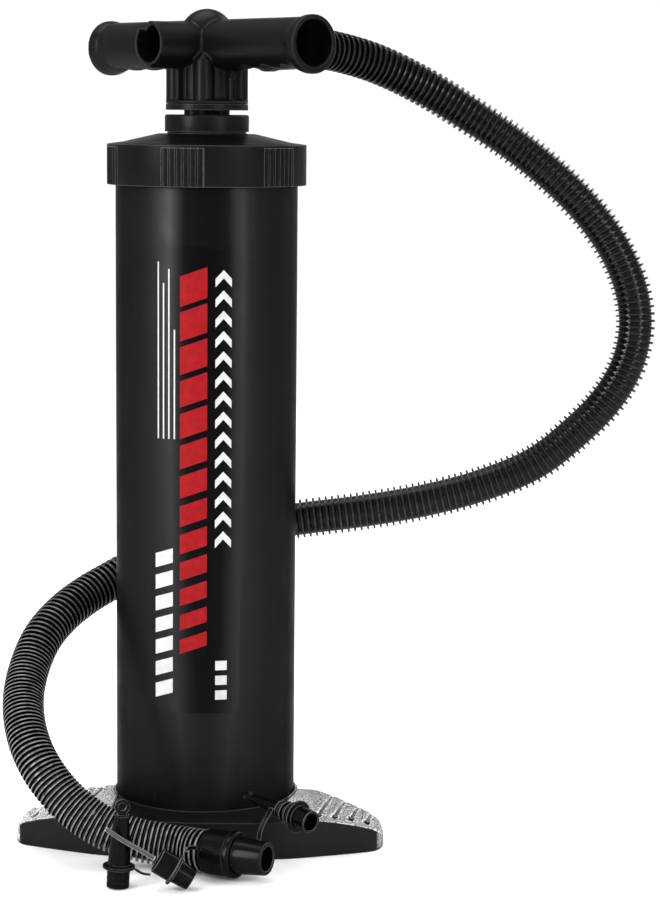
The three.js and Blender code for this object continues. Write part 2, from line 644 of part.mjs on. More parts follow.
// The stretch of a curve between two shares of its length.
class Stretch extends THREE.Curve {
  constructor(whole, from, to) {
    super();
    Object.assign(this, { whole, from, to });
  }

  getPoint(share, target) {
    return this.whole.getPointAt(THREE.MathUtils.lerp(this.from, this.to, share), target);
  }
}

const hoseCurve = smooth(HOSE_ROUTE);
const hoseLength = hoseCurve.getLength();
const halfGap = GAP / 2 / hoseLength;

// A plain round tube for one stretch of the hose.
function hoseTube(from, to) {
  const corners = around(HOSE_SIDES, HOSE_R, 180 / HOSE_SIDES);
  const section = new THREE.Shape(corners.map(({ x, y }) => point(x, y)));
  const steps = Math.ceil(((to - from) * hoseLength) / HOSE_STEP);
  const extrudePath = new Stretch(hoseCurve, from, to);
  return new THREE.ExtrudeGeometry(section, { steps, extrudePath, bevelEnabled: false });
}

node(pump, "hose_upper", hoseTube(0, HOSE_SPLIT - halfGap), GLOSS_BLACK);
node(pump, "hose_lower", hoseTube(HOSE_SPLIT + halfGap, 1), GLOSS_BLACK);

// The fittings on the hose's far end, drawn along +X from the hose's end.
const endFittings = new THREE.Group();
const hoseEnd = HOSE_ROUTE.at(-1);
endFittings.position.set(...hoseEnd);
endFittings.quaternion.setFromUnitVectors(new THREE.Vector3(1, 0, 0), hoseCurve.getTangentAt(1));
pump.add(endFittings);

node(endFittings, "hose_end_cuff", alongX(lathe([
  [HOSE_BORE_R, GAP], [12.2, GAP], [12.6, 2], [12.6, 15.5], [13.1, 16], [13.1, 19], [12.4, 20],
  [HOSE_BORE_R, 20], [HOSE_BORE_R, GAP],
])), GLOSS_BLACK);

node(endFittings, "hose_nozzle", alongX(lathe([
  [6.8, 20.3], [10.4, 20.3], [10.2, 24], [9.3, END_FITTING_LENGTH - 0.6], [8.9, END_FITTING_LENGTH],
  [6.8, END_FITTING_LENGTH], [6.8, 20.3],
])), GLOSS_BLACK);

// ---------------------------------------------------------------- valve adapters

// The tall adapter stands on its plug; a flat eye on its tip takes a strap.
const TALL_EYE_Z = 45.2;

function tallAdapter() {
  const body = lathe([
    [0, 2], [4.6, 2], [4.6, 0], [6.3, 0], [6.3, 10], [8.9, 10.6], [8.9, 12.2], [6.2, 12.8], [5.6, 24],
    [4.1, 40], [0, 40],
  ], 16);
  const eye = alongY(disc(4.3, -1.4, 1.4, 16)).translate(0, 0, TALL_EYE_Z);
  const neck = box([-2.6, 2.6], [-1.4, 1.4], [38, TALL_EYE_Z - 2]);
  const hole = alongY(disc(1.9, -3, 3, 10)).translate(0, 0, TALL_EYE_Z);
  return cut(join(body, neck, eye), hole);
}

// The short adapter: two stub tubes on either side of a thin flange.
function shortAdapter() {
  const body = lathe([
    [4.8, -10.8], [7.3, -10.8], [7.3, -0.7], [9, -0.7], [9, 0.7], [6.9, 0.7], [6.2, 10.8], [4.8, 10.8],
    [4.8, -10.8],
  ], 16);
  return alongX(body);
}

// The ribbed adapter: an eye, a tapered stem, three thin fins, a flange and an open socket.
function ribbedAdapter() {
  const fins = [[28, 5.4], [32.4, 6.2], [36.8, 7]];
  const finThickness = 1;
  const finLine = fins.flatMap(([at, radius]) => [
    [3.9, at], [radius, at], [radius, at + finThickness], [3.9, at + finThickness]]);
  const stem = lathe([
    [0, 3], [1.9, 3], [2.4, 7], ...finLine, [4.2, 40.6], [9.2, 41.2], [9.2, 42.8], [6.5, 43.2],
    [6.3, 53.2], [5, 53.2], [5, 44], [0, 44],
  ], 16);
  const eye = new THREE.TorusGeometry(2.7, 1.1, 6, 14).scale(1.25, 1, 1);
  return join(alongX(stem), eye.rotateX(QUARTER_TURN));
}

const tall = node(pump, "adapter_tall", tallAdapter(), GLOSS_BLACK);
tall.position.set(-36.9, -128, 0.5);
tall.rotation.set(0, radians(3.3), radians(12), "ZYX");

const short = node(pump, "adapter_short", shortAdapter(), GLOSS_BLACK);
short.position.set(-5.3, -131, 11.5);
short.rotation.set(0, radians(31.5), radians(4), "ZYX");

const ribbed = node(pump, "adapter_ribbed", ribbedAdapter(), GLOSS_BLACK);
ribbed.position.set(29.4, -63.3, 34.9);
ribbed.rotation.set(0, radians(4.5), radians(-43.8), "ZYX");

// Thin moulded straps that tie the adapters to the hose's end cuff.
const STRAP_THICKNESS = 1.2;
const STRAPS = [
  { name: "strap_cuff_to_short", width: 2.4, route: [[5, -117, 20], [1.5, -123, 21.5], [0.5, -127.5, 21.8]] },
  { name: "strap_short_to_tall", width: 2.6,
    route: [[-15.7, -136.6, 19.2], [-23.7, -136.3, 23.9], [-32.4, -136.2, 28.7], [-42.3, -136, 35.2]] },
  { name: "strap_tall_foot", width: 1.3,
    route: [[-27.4, -128.6, 10.8], [-23, -129.6, 8.6], [-18.7, -130.6, 8.4]] },
  { name: "strap_cuff_to_ribbed", width: 2.6, turned: true,
    route: [[38.8, -103, 20.6], [39.2, -100.8, 24], [41, -96, 28.6], [43.4, -91, 32], [44.8, -86.2, 34]] },
];

function strap({ width, route, turned = false }) {
  const [x, y] = turned ? [width / 2, STRAP_THICKNESS / 2] : [STRAP_THICKNESS / 2, width / 2];
  const section = new THREE.Shape([point(-x, -y), point(x, -y), point(x, y), point(-x, y)]);
  const extrudePath = smooth(route);
  return new THREE.ExtrudeGeometry(section, { steps: 8, extrudePath, bevelEnabled: false });
}

for (const each of STRAPS) node(pump, each.name, strap(each), GLOSS_BLACK);

export default pump;
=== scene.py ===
"""Double action hand pump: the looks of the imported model.

The frame is the part's own: metres, +Z up, Z is the barrel's axis and the foot's front faces -Y.
The hose's route is in metres. Profiles and outlines are in millimetres, and piece() makes metres of them.
"""
import math

import bmesh
import bpy
from mathutils import Matrix, Vector


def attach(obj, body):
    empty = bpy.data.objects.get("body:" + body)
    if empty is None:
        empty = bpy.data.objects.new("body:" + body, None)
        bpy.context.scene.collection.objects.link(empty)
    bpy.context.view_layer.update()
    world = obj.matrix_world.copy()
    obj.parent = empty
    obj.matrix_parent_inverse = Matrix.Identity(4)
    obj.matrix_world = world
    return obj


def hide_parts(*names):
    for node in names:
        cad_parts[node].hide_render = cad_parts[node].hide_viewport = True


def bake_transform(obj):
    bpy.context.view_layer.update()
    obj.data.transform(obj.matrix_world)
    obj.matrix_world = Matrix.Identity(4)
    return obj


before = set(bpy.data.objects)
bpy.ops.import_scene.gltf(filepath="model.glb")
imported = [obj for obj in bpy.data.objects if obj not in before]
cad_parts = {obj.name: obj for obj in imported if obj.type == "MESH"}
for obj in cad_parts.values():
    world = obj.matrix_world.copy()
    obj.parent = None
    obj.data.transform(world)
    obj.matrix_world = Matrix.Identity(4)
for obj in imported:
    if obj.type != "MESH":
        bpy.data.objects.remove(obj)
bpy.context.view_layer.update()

MM = 0.001
GAP = 0.3  # between pieces that touch

# -------------------------------- sizes, as in the CAD

FOOT_HALF_LENGTH = 107
FOOT_FRONT = 74.5
FOOT_BACK_R = 55.2
FOOT_TOP = 21.5
FOOT_FLOOR = 4
FOOT_SCREW_CIRCLE_R = 38
FOOT_COUNTERBORE = 2.5
BEAD_TOP = 22.3
BEAD_WIDTH = 1.4  # of the fine raised ring round the barrel

BARREL_R = 52.6
BARREL_BORE_R = 49.6
BARREL_TOP = 395

LABEL_FROM, LABEL_TO = -120.3, -63.8  # degrees about Z
LABEL_BOTTOM, LABEL_TOP = 80, 346
LABEL_R = BARREL_R + GAP

CAP_R = 57.5
CAP_BOTTOM = 379.8
CAP_RIM_TOP = 403
CAP_PLATE_UNDERSIDE = 397.6
NECK_R = 22.75
NECK_TOP = 410.1
GRIP_GROUPS = 6
GRIP_FIRST_ANGLE = 21
GRIP_WIDTH = 24
GRIP_DEPTH = 0.9

ROD_TUBE_R = 7.4
ROD_BORE_R = 5.2
ROD_WAIST = 3
ROD_CLEARANCE = 0.35
ROD_BOTTOM = 24.6
ROD_TOP = 445

GUIDE_R = 19
COLLAR_R = 24.25
COLLAR_BOTTOM = NECK_TOP + GAP
COLLAR_TOP = 419.9

HANDLE_TURN = -46
HANDLE_Z = 459.5
ARM_R = 14.2
ARM_BORE_R = 13
ARM_INNER_R = 10.4
ARM_HALF_LENGTH = 93.3
ARM_FLANGE_R = 16.2
ARM_FLANGE_DROP = 0.8
FINGER_FIRST_X = 41
FINGER_PITCH = 17
FINGER_DEPTH = 2.6
FINGER_GROOVE_R = 9
FINGER_GROOVES = 3  # under each arm
PORT_R = 12.5
PORT_BORE_R = 10.7
PORT_LENGTH = 43
DOME_R = 15.7
DOME_TOP = 480
HOUSING_BOTTOM = 422.4
HOUSING_R = 23.7
HOUSING_FLANGE = 3.3
HOUSING_BASE = 1.8
HUB_R = 17.5
FLANGE_COUNTERBORE = 1.9
BOSS_CIRCLE_R = 18
BOSS_R = 5.6

HOSE_R = 12
HOSE_ROOT_R = 9.9  # between the fins
HOSE_BORE_R = 8
HOSE_SPLIT = 0.636  # share of the route's length where the two stretches meet
CUFF_END = 66
HOSE_ROUTE = [  # metres
    (0.0479, 0.0463, 0.4595), (0.06, 0.0578, 0.4592), (0.072, 0.068, 0.4578),
    (0.096, 0.083, 0.451), (0.123, 0.093, 0.4385), (0.151, 0.098, 0.422),
    (0.18, 0.099, 0.403), (0.205, 0.097, 0.3835), (0.226, 0.095, 0.363),
    (0.243, 0.092, 0.3395), (0.253, 0.09, 0.316), (0.256, 0.088, 0.293),
    (0.2515, 0.086, 0.27), (0.2395, 0.084, 0.2485), (0.22, 0.082, 0.228),
    (0.196, 0.08, 0.209), (0.165, 0.078, 0.1955), (0.129, 0.076, 0.1855),
    (0.091, 0.0745, 0.1785), (0.051, 0.0735, 0.173), (0.024, 0.073, 0.1685),
    (0.0, 0.0725, 0.1625), (-0.024, 0.0705, 0.1545), (-0.045, 0.063, 0.1455),
    (-0.062, 0.052, 0.137), (-0.076, 0.038, 0.13), (-0.088, 0.018, 0.122),
    (-0.097, -0.002, 0.1115), (-0.1018, -0.021, 0.0977), (-0.1023, -0.0405, 0.0836),
    (-0.0979, -0.059, 0.07), (-0.09, -0.073, 0.0569), (-0.079, -0.082, 0.0441),
    (-0.0657, -0.0875, 0.0327), (-0.0503, -0.091, 0.0236), (-0.0328, -0.0928, 0.0174),
    (-0.0141, -0.094, 0.0142), (-0.0021, -0.0966, 0.0133), (0.0102, -0.1024, 0.0137),
]

# -------------------------------- camera

CAMERA_DISTANCE = 1.4536  # from the barrel's axis
CAMERA_HEIGHT = 0.4215
CAMERA_AZIMUTH = 5
CAMERA_PITCH = 7.68  # down
CAMERA_PAN = 2.86  # to the right
CAMERA_ROLL = 0.51
LENS = 100


def make_camera():
    azimuth = math.radians(CAMERA_AZIMUTH)
    ahead = Vector((-math.sin(azimuth), math.cos(azimuth), 0))
    right = Vector((math.cos(azimuth), math.sin(azimuth), 0))
    up = Vector((0, 0, 1))

    def turned(first, second, degrees):
        """Both directions of a plane, turned within it by an angle."""
        c, s = math.cos(math.radians(degrees)), math.sin(math.radians(degrees))
        return first * c + second * s, second * c - first * s

    ahead, right = turned(ahead, right, CAMERA_PAN)
    up, ahead = turned(up, ahead, CAMERA_PITCH)
    right, up = turned(right, up, CAMERA_ROLL)
    camera = bpy.data.objects.new("camera", bpy.data.cameras.new("camera"))
    camera.data.lens = LENS
    camera.data.clip_end = 50
    place = Matrix((right, up, -ahead)).transposed().to_4x4()
    place.translation = Vector((
        CAMERA_DISTANCE * math.sin(azimuth), -CAMERA_DISTANCE * math.cos(azimuth), CAMERA_HEIGHT))
    camera.matrix_world = place
    bpy.context.collection.objects.link(camera)
    bpy.context.scene.camera = camera


make_camera()

# -------------------------------- shapes: (corners in mm, faces)


def lathe(profile, sides=96, bend=None):
    """A profile of (radius, height) points turned about Z. bend(radius, angle, height) gives a new radius."""
    corners, faces = [], []
    for k in range(sides):
        angle = 2 * math.pi * k / sides
        for radius, height in profile:
            r = bend(radius, angle, height) if bend else radius
            corners.append((r * math.cos(angle), r * math.sin(angle), height))
    n = len(profile)
    for k in range(sides):
        here, there = k * n, (k + 1) % sides * n
        for i in range(n - 1):
            faces.append((here + i, there + i, there + i + 1, here + i + 1))
    return corners, faces


def rounded(points, radius, steps=3, closed=False):
    """A line of 2-D points with each corner replaced by an arc, as far as its neighbours leave room."""
    line = [Vector(p) for p in points]
    count = len(line)
    result = []
    for i, corner in enumerate(line):
        if not closed and i in (0, count - 1):
            result.append(corner)
            continue
        before, after = line[i - 1] - corner, line[(i + 1) % count] - corner
        reach = min(radius, before.length * 0.48, after.length * 0.48)
        if reach < 1e-4:
            result.append(corner)
            continue
        start, end = corner + before.normalized() * reach, corner + after.normalized() * reach
        for step in range(steps + 1):
            t = step / steps
            result.append(start * (1 - t) ** 2 + corner * 2 * t * (1 - t) + end * t ** 2)
    return [tuple(p) for p in result]


def turned_solid(profile, radius=0.5, sides=96, steps=3):
    """A lathe of a closed outline, or of one that starts and ends on the axis, with soft corners."""
    on_axis = profile[0][0] == 0 and profile[-1][0] == 0
    if on_axis:
        return lathe(rounded(profile, radius, steps), sides)
    line = rounded(profile, radius, steps, closed=True)
    return lathe(line + line[:1], sides)


def prism(outline, bottom, top):
    """An outline of (x, y) points raised from one height to another."""
    n = len(outline)
    corners = [(x, y, bottom) for x, y in outline] + [(x, y, top) for x, y in outline]
    faces = [tuple(reversed(range(n))), tuple(range(n, 2 * n))]
    faces += [(i, (i + 1) % n, n + (i + 1) % n, n + i) for i in range(n)]
    return corners, faces


def box(xs, ys, zs):
    return prism([(xs[0], ys[0]), (xs[1], ys[0]), (xs[1], ys[1]), (xs[0], ys[1])], *zs)


def disc(radius, bottom, top, sides=64):
    return lathe([(0, bottom), (radius, bottom), (radius, top), (0, top)], sides)


def ball(radius, sides=64):
    half = [math.pi * i / 24 - math.pi / 2 for i in range(25)]
    return lathe([(radius * math.cos(a), radius * math.sin(a)) for a in half], sides)


def placed(shape, matrix):
    return [tuple(matrix @ Vector(c)) for c in shape[0]], shape[1]


def tube_faces(corners, n):
    """The faces that join rings of n corners into a tube with closed ends."""
    last = len(corners) - n
    faces = []
    for start in range(0, last, n):
        faces += [(start + k, start + (k + 1) % n, start + n + (k + 1) % n, start + n + k) for k in range(n)]
    return faces + [tuple(range(n)), tuple(reversed(range(last, last + n)))]


def moved(shape, x=0, y=0, z=0):
    return placed(shape, Matrix.Translation((x, y, z)))


def spun(shape, degrees, axis="Z"):
    return placed(shape, Matrix.Rotation(math.radians(degrees), 4, axis))


def along_x(shape):
    return spun(shape, 90, "Y")


def along_y(shape):
    return spun(shape, -90, "X")


def ring_places(count, radius, first_degrees):
    """The angle in degrees and the point of each of a ring of identical features."""
    for i in range(count):
        degrees = first_degrees + 360 * i / count
        a = math.radians(degrees)
        yield degrees, radius * math.cos(a), radius * math.sin(a)


def arc(radius, from_degrees, to_degrees, steps):
    """Points of an arc about the origin."""
    angles = [math.radians(from_degrees + (to_degrees - from_degrees) * i / steps) for i in range(steps + 1)]
    return [(radius * math.cos(a), radius * math.sin(a)) for a in angles]


def height_at(x, line):
    """The second number of a line of 2-D points, read at a value of the first."""
    for (x0, y0), (x1, y1) in zip(line, line[1:]):
        if x <= x1:
            return y0 + (y1 - y0) * (x - x0) / (x1 - x0)
    return line[-1][1]


def clean_mesh(name, shape, scale=1.0):
    """A Blender mesh of a shape, its double corners merged and its faces pointing out."""
    mesh = bpy.data.meshes.new(name)
    mesh.from_pydata([Vector(c) * scale for c in shape[0]], [], shape[1])
    bm = bmesh.new()
    bm.from_mesh(mesh)
    bmesh.ops.remove_doubles(bm, verts=bm.verts, dist=1e-4 * scale)
    bmesh.ops.dissolve_degenerate(bm, edges=bm.edges, dist=1e-5 * scale)
    bmesh.ops.recalc_face_normals(bm, faces=bm.faces)
    bm.to_mesh(mesh)
    bm.free()
    return mesh


def fused(adds, cuts=(), voxel=0.7, softening=6):
    """One moulded solid: the union of some shapes, less others, with every edge softened."""
    def scratch(shape):
        thing = bpy.data.objects.new("scratch", clean_mesh("scratch", shape))
        bpy.context.collection.objects.link(thing)
        return thing

    base = scratch(adds[0])
    tools = [(scratch(s), "UNION") for s in adds[1:]] + [(scratch(s), "DIFFERENCE") for s in cuts]
    for tool, operation in tools:
        step = base.modifiers.new("step", "BOOLEAN")
        step.object, step.operation, step.solver = tool, operation, "MANIFOLD"
    if voxel:
        remesh = base.modifiers.new("voxels", "REMESH")
        remesh.mode, remesh.voxel_size = "VOXEL", voxel
        soft = base.modifiers.new("soft edges", "SMOOTH")
        soft.factor, soft.iterations = 0.5, softening
    made = base.evaluated_get(bpy.context.evaluated_depsgraph_get()).to_mesh()
    shape = [tuple(v.co) for v in made.vertices], [tuple(p.vertices) for p in made.polygons]
    for thing in [base] + [tool for tool, _ in tools]:
        bpy.data.objects.remove(thing)
    return shape


def piece(name, shape, material, body, stands_for=(), sharp=40):
    """A shown piece of the object that rides on a CAD body."""
    mesh = clean_mesh(name, shape, MM)
    mesh.shade_smooth()
    if sharp:
        mesh.set_sharp_from_angle(angle=math.radians(sharp))
    mesh.materials.append(material)
    thing = bpy.data.objects.new(name, mesh)
    bpy.context.collection.objects.link(thing)
    if body:
        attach(thing, body)
    if stands_for:
        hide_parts(*stands_for)
    return thing


# -------------------------------- materials

TREAD_SHADE_REACH = 0.003  # how near another surface must be for a hollow of the foot to stay black


class Nodes:
    """A material's node tree, with short calls for the nodes that this scene uses."""

    def __init__(self, name):
        self.material = bpy.data.materials.new(name)
        self.material.use_nodes = True
        self.tree = self.material.node_tree
        self.shader = self.tree.nodes["Principled BSDF"]

    def add(self, kind, **settings):
        node = self.tree.nodes.new(kind)
        for key, value in settings.items():
            setattr(node, key, value)
        return node

    def join(self, source, target):
        self.tree.links.new(source, target)

    def place(self, stretch=(1, 1, 1)):
        """The point in the piece's own metres, stretched."""
        mapping = self.add("ShaderNodeMapping")
        mapping.inputs["Scale"].default_value = stretch
        self.join(self.add("ShaderNodeTexCoord").outputs["Object"], mapping.inputs["Vector"])
        return mapping.outputs["Vector"]

    def noise(self, scale, detail=3, stretch=(1, 1, 1)):
        node = self.add("ShaderNodeTexNoise")
        node.inputs["Scale"].default_value = scale
        node.inputs["Detail"].default_value = detail
        self.join(self.place(stretch), node.inputs["Vector"])
        return node.outputs["Fac"]

    def spread(self, value, low, high, start=0.3, end=0.7):
        """A 0 to 1 value turned into low to high."""
        node = self.add("ShaderNodeMapRange")
        for key, number in (("From Min", start), ("From Max", end), ("To Min", low), ("To Max", high)):
            node.inputs[key].default_value = number
        self.join(value, node.inputs["Value"])
        return node.outputs["Result"]

    def mix(self, factor, first, second):
        """A colour between two; each is a colour or a socket."""
        node = self.add("ShaderNodeMix", data_type="RGBA")
        self.join(factor, node.inputs["Factor"])
        for key, color in (("A", first), ("B", second)):
            socket = next(s for s in node.inputs if s.name == key and s.type == "RGBA")
            if isinstance(color, tuple):
                socket.default_value = (*color, 1)
            else:
                self.join(color, socket)
        return next(s for s in node.outputs if s.type == "RGBA")

    def edge_wear_and_glint_mask(self, radius, strength):
        """1 on edges that a bevel of this radius would round, 0 on flats: where edges are painted lighter,
        partly as wear and partly as painted highlight glints.
        """
        bevel = self.add("ShaderNodeBevel", samples=4)
        bevel.inputs["Radius"].default_value = radius
        normal = self.add("ShaderNodeNewGeometry").outputs["Normal"]
        dot = self.add("ShaderNodeVectorMath", operation="DOT_PRODUCT")
        self.join(bevel.outputs["Normal"], dot.inputs[0])
        self.join(normal, dot.inputs[1])
        return self.spread(dot.outputs["Value"], strength, 0, 0.82, 0.995)

    def product(self, first, second):
        node = self.add("ShaderNodeMath", operation="MULTIPLY")
        self.join(first, node.inputs[0])
        self.join(second, node.inputs[1])
        return node.outputs["Value"]

    def raised(self, start, end):
        """1 on raised edges, 0 on flats and in hollows."""
        return self.spread(self.add("ShaderNodeNewGeometry").outputs["Pointiness"], 0, 1, start, end)

    def gloss_curve(self, stops):
        """A specular level that follows how far the surface turns away: (facing, level) stops."""
        ramp = self.add("ShaderNodeValToRGB")
        elements = ramp.color_ramp.elements
        elements[0].position, elements[1].position = stops[0][0], stops[-1][0]
        for at, _ in stops[1:-1]:
            elements.new(at)
        for element, (_, level) in zip(elements, stops):
            element.color = (level, level, level, 1)
        self.join(self.add("ShaderNodeLayerWeight").outputs["Facing"], ramp.inputs["Fac"])
        self.join(ramp.outputs["Color"], self.shader.inputs["Specular IOR Level"])

    def gloss(self, level, at_edge=0.12, start=0.15, end=0.7):
        """A specular level that falls off where the surface turns away, to a share of its full value."""
        facing = self.add("ShaderNodeLayerWeight").outputs["Facing"]
        self.join(self.spread(facing, level, level * at_edge, start, end),
                  self.shader.inputs["Specular IOR Level"])

    def bump(self, height, strength, distance):
        node = self.add("ShaderNodeBump")
        node.inputs["Strength"].default_value = strength
        node.inputs["Distance"].default_value = distance
        self.join(height, node.inputs["Height"])
        self.join(node.outputs["Normal"], self.shader.inputs["Normal"])


def plastic(name, dark, light, roughness, grain=0.25, grain_size=900, edge_wear_and_glint=0.5, shine=0.1, edge=0.035,
            edge_width=0.0009):
    """Moulded plastic: faint cloudiness, fine mould grain, and edges painted lighter, partly as wear and
    partly as painted highlight glints.
    """
    n = Nodes(name)
    cloud = n.spread(n.noise(22, 4), 0, 1)
    color = n.mix(cloud, dark, light)
    if edge_wear_and_glint:
        # edges painted lighter: partly wear, partly painted highlight glints
        color = n.mix(n.edge_wear_and_glint_mask(edge_width, edge_wear_and_glint), color, (edge, edge, edge * 1.03))
    n.join(color, n.shader.inputs["Base Color"])
    n.join(n.spread(n.noise(60, 5), roughness - 0.05, roughness + 0.06), n.shader.inputs["Roughness"])
    n.gloss(shine)
    n.bump(n.noise(grain_size, 2), grain, 0.00012)
    return n.material


def rubber(name):
    n = Nodes(name)
    n.join(n.mix(n.spread(n.noise(40, 5), 0, 1), (0.009, 0.009, 0.009), (0.02, 0.02, 0.019)),
           n.shader.inputs["Base Color"])
    n.join(n.spread(n.noise(120, 4), 0.68, 0.86), n.shader.inputs["Roughness"])
    n.bump(n.noise(1400, 3), 0.35, 0.0001)
    return n.material


def plated_steel(name):
    n = Nodes(name)
    n.join(n.mix(n.spread(n.noise(300, 4), 0, 1), (0.42, 0.43, 0.45), (0.62, 0.62, 0.6)),
           n.shader.inputs["Base Color"])
    n.shader.inputs["Metallic"].default_value = 1
    n.join(n.spread(n.noise(900, 3, (1, 1, 12)), 0.22, 0.4), n.shader.inputs["Roughness"])
    n.bump(n.noise(2500, 2), 0.15, 0.00005)
    return n.material


def print_ink(name, dark, light):
    """Screen printed ink: nearly even, with a faint mottle and a soft gloss."""
    n = Nodes(name)
    n.join(n.mix(n.spread(n.noise(260, 4), 0, 1), dark, light), n.shader.inputs["Base Color"])
    n.join(n.spread(n.noise(500, 3), 0.34, 0.48), n.shader.inputs["Roughness"])
    n.gloss(0.08)
    n.bump(n.noise(1600, 2), 0.1, 0.00004)
    return n.material


def barrel_plastic(name, dark, light, roughness):
    """The barrel's satin plastic, glossiest where it has turned a little away."""
    n = Nodes(name)
    n.join(n.mix(n.spread(n.noise(22, 4), 0, 1), dark, light), n.shader.inputs["Base Color"])
    n.join(n.spread(n.noise(60, 5), roughness - 0.05, roughness + 0.06), n.shader.inputs["Roughness"])
    n.gloss_curve([(0, 0.008), (0.03, 0.025), (0.055, 0.12), (0.085, 0.2), (0.12, 0.13), (0.2, 0.09),
                   (0.3, 0.055), (0.42, 0.025), (0.6, 0.006)])
    n.bump(n.noise(1500, 2), 0.16, 0.00012)
    return n.material


def tread_plastic(name):
    """The foot: smooth satin sides with edges painted lighter as wear and painted highlight, and a coarse
    spark grain in silver on the foot rests, with painted highlights on its raised edges, painted shade
    keeping its hollows black and painted light making the left rest lighter.
    """
    n = Nodes(name)
    place = n.add("ShaderNodeSeparateXYZ")
    n.join(n.place(), place.inputs["Vector"])
    out = n.add("ShaderNodeMath", operation="ABSOLUTE")
    n.join(place.outputs["X"], out.inputs[0])
    facing = n.add("ShaderNodeSeparateXYZ")
    n.join(n.add("ShaderNodeNewGeometry").outputs["Normal"], facing.inputs["Vector"])
    not_front = n.spread(facing.outputs["Y"], 0, 1, -0.62, -0.45)
    on_rest = n.product(not_front, n.spread(out.outputs["Value"], 0, 1, 0.05, 0.0515))
    near_barrel = n.spread(out.outputs["Value"], 1, 0, 0.055, 0.068)
    painted_light_left_rest = n.spread(place.outputs["X"], 1, 0, -0.06, -0.05)
    # painted shade: hollows of the foot (grooves and notches) stay black, without the silver grain
    hollow = n.add("ShaderNodeAmbientOcclusion", samples=8)
    hollow.inputs["Distance"].default_value = TREAD_SHADE_REACH
    out_of_painted_shade = n.spread(hollow.outputs["AO"], 0, 1, 0.62, 0.93)
    grain = n.noise(1250, 4)
    speckle = n.spread(grain, 0, 1, 0.43, 0.57)
    pale_with_painted_light = n.product(n.product(on_rest, speckle), out_of_painted_shade)
    plain = n.mix(n.spread(n.noise(24, 4), 0, 1), (0.0035, 0.0035, 0.004), (0.006, 0.006, 0.0065))
    # edges painted lighter: partly wear, partly painted highlight
    plain = n.mix(n.edge_wear_and_glint_mask(0.0009, 0.6), plain, (0.1, 0.1, 0.103))
    # painted highlight: the tread's raised edges are painted near-white
    silver = n.mix(n.raised(0.503, 0.53), (0.42, 0.425, 0.43), (0.92, 0.925, 0.93))
    silver = n.mix(near_barrel, silver, (0.72, 0.725, 0.73))
    # painted light: the left rest's silver is evenly lighter, as it is more brightly lit
    silver = n.mix(painted_light_left_rest, silver, (0.84, 0.845, 0.85))
    n.join(n.mix(pale_with_painted_light, plain, silver), n.shader.inputs["Base Color"])
    n.join(n.spread(on_rest, 0.44, 0.5, 0, 1), n.shader.inputs["Roughness"])
    n.gloss(0.1)
    n.bump(n.product(grain, n.spread(on_rest, 0.15, 1.6, 0, 1)), 0.5, 0.0005)
    return n.material


def hose_plastic(name):
    """Glossy blow-moulded hose: its fins' crests are painted pale as highlight glints where it lies low, near
    the ground.
    """
    n = Nodes(name)
    place = n.add("ShaderNodeSeparateXYZ")
    n.join(n.place(), place.inputs["Vector"])
    low = n.spread(place.outputs["Z"], 1, 0.06, 0.05, 0.2)
    # painted highlight: pale glints on the fin crests, strongest where the hose lies low
    painted_crest_glint = n.product(n.raised(0.54, 0.6), low)
    plain = n.mix(n.spread(n.noise(30, 4), 0, 1), (0.0008, 0.0008, 0.001), (0.002, 0.002, 0.0022))
    pale_with_painted_light = n.mix(n.spread(n.noise(260, 3), 0, 1), (0.06, 0.06, 0.062), (0.22, 0.22, 0.225))
    n.join(n.mix(painted_crest_glint, plain, pale_with_painted_light), n.shader.inputs["Base Color"])
    n.join(n.spread(n.noise(150, 4), 0.12, 0.2), n.shader.inputs["Roughness"])
    n.gloss(0.16, 0.2)
    n.bump(n.noise(420, 2), 0.2, 0.00015)
    return n.material


# The edge colours below paint edges lighter: a little wear, and painted highlight glints on the cap's rib
# steps and painted bright outlines on the gloss pieces.
SATIN = plastic("satin black plastic", (0.0017, 0.0017, 0.002), (0.0033, 0.0033, 0.0036), 0.36, edge_wear_and_glint=0.8,
                shine=0.085, edge=0.09)
CAP_PLASTIC = plastic("ribbed cap plastic", (0.0014, 0.0014, 0.0017), (0.003, 0.003, 0.0033), 0.36, edge_wear_and_glint=1,
                      shine=0.065, edge=0.17, edge_width=0.00045)
BARREL_PLASTIC = barrel_plastic("barrel plastic", (0.0023, 0.0023, 0.0028), (0.0035, 0.0035, 0.004), 0.42)
MATT = plastic("matt black plastic", (0.007, 0.007, 0.0075), (0.012, 0.012, 0.0125), 0.62, grain=0.3)
GLOSS = plastic("gloss black plastic", (0.001, 0.001, 0.0013), (0.0022, 0.0022, 0.0026), 0.2, grain=0.12,
                edge_wear_and_glint=1.2, shine=0.055, edge=0.34, edge_width=0.0005)
# The strap's near-white edges are painted highlight glints.
PAINTED_GLINT_STRAP = plastic("strap plastic with painted edge glints", (0.012, 0.012, 0.013), (0.03, 0.03, 0.031), 0.3, grain=0.12,
                       edge_wear_and_glint=1.6, shine=0.5, edge=0.95, edge_width=0.0005)
LABEL_FILM = barrel_plastic("label film", (0.0017, 0.0017, 0.002), (0.0026, 0.0026, 0.003), 0.38)
NATURAL = plastic("natural plastic", (0.6, 0.59, 0.54), (0.7, 0.69, 0.65), 0.45, edge_wear_and_glint=0)
FOOT_PLASTIC = tread_plastic("foot plastic")
HOSE_PLASTIC = hose_plastic("hose plastic")
RUBBER = rubber("black rubber")
STEEL = plated_steel("plated steel")
RED_INK = print_ink("red ink", (0.17, 0.003, 0.005), (0.23, 0.005, 0.007))
WHITE_INK = print_ink("white ink", (0.38, 0.38, 0.38), (0.46, 0.46, 0.46))

# -------------------------------- hose


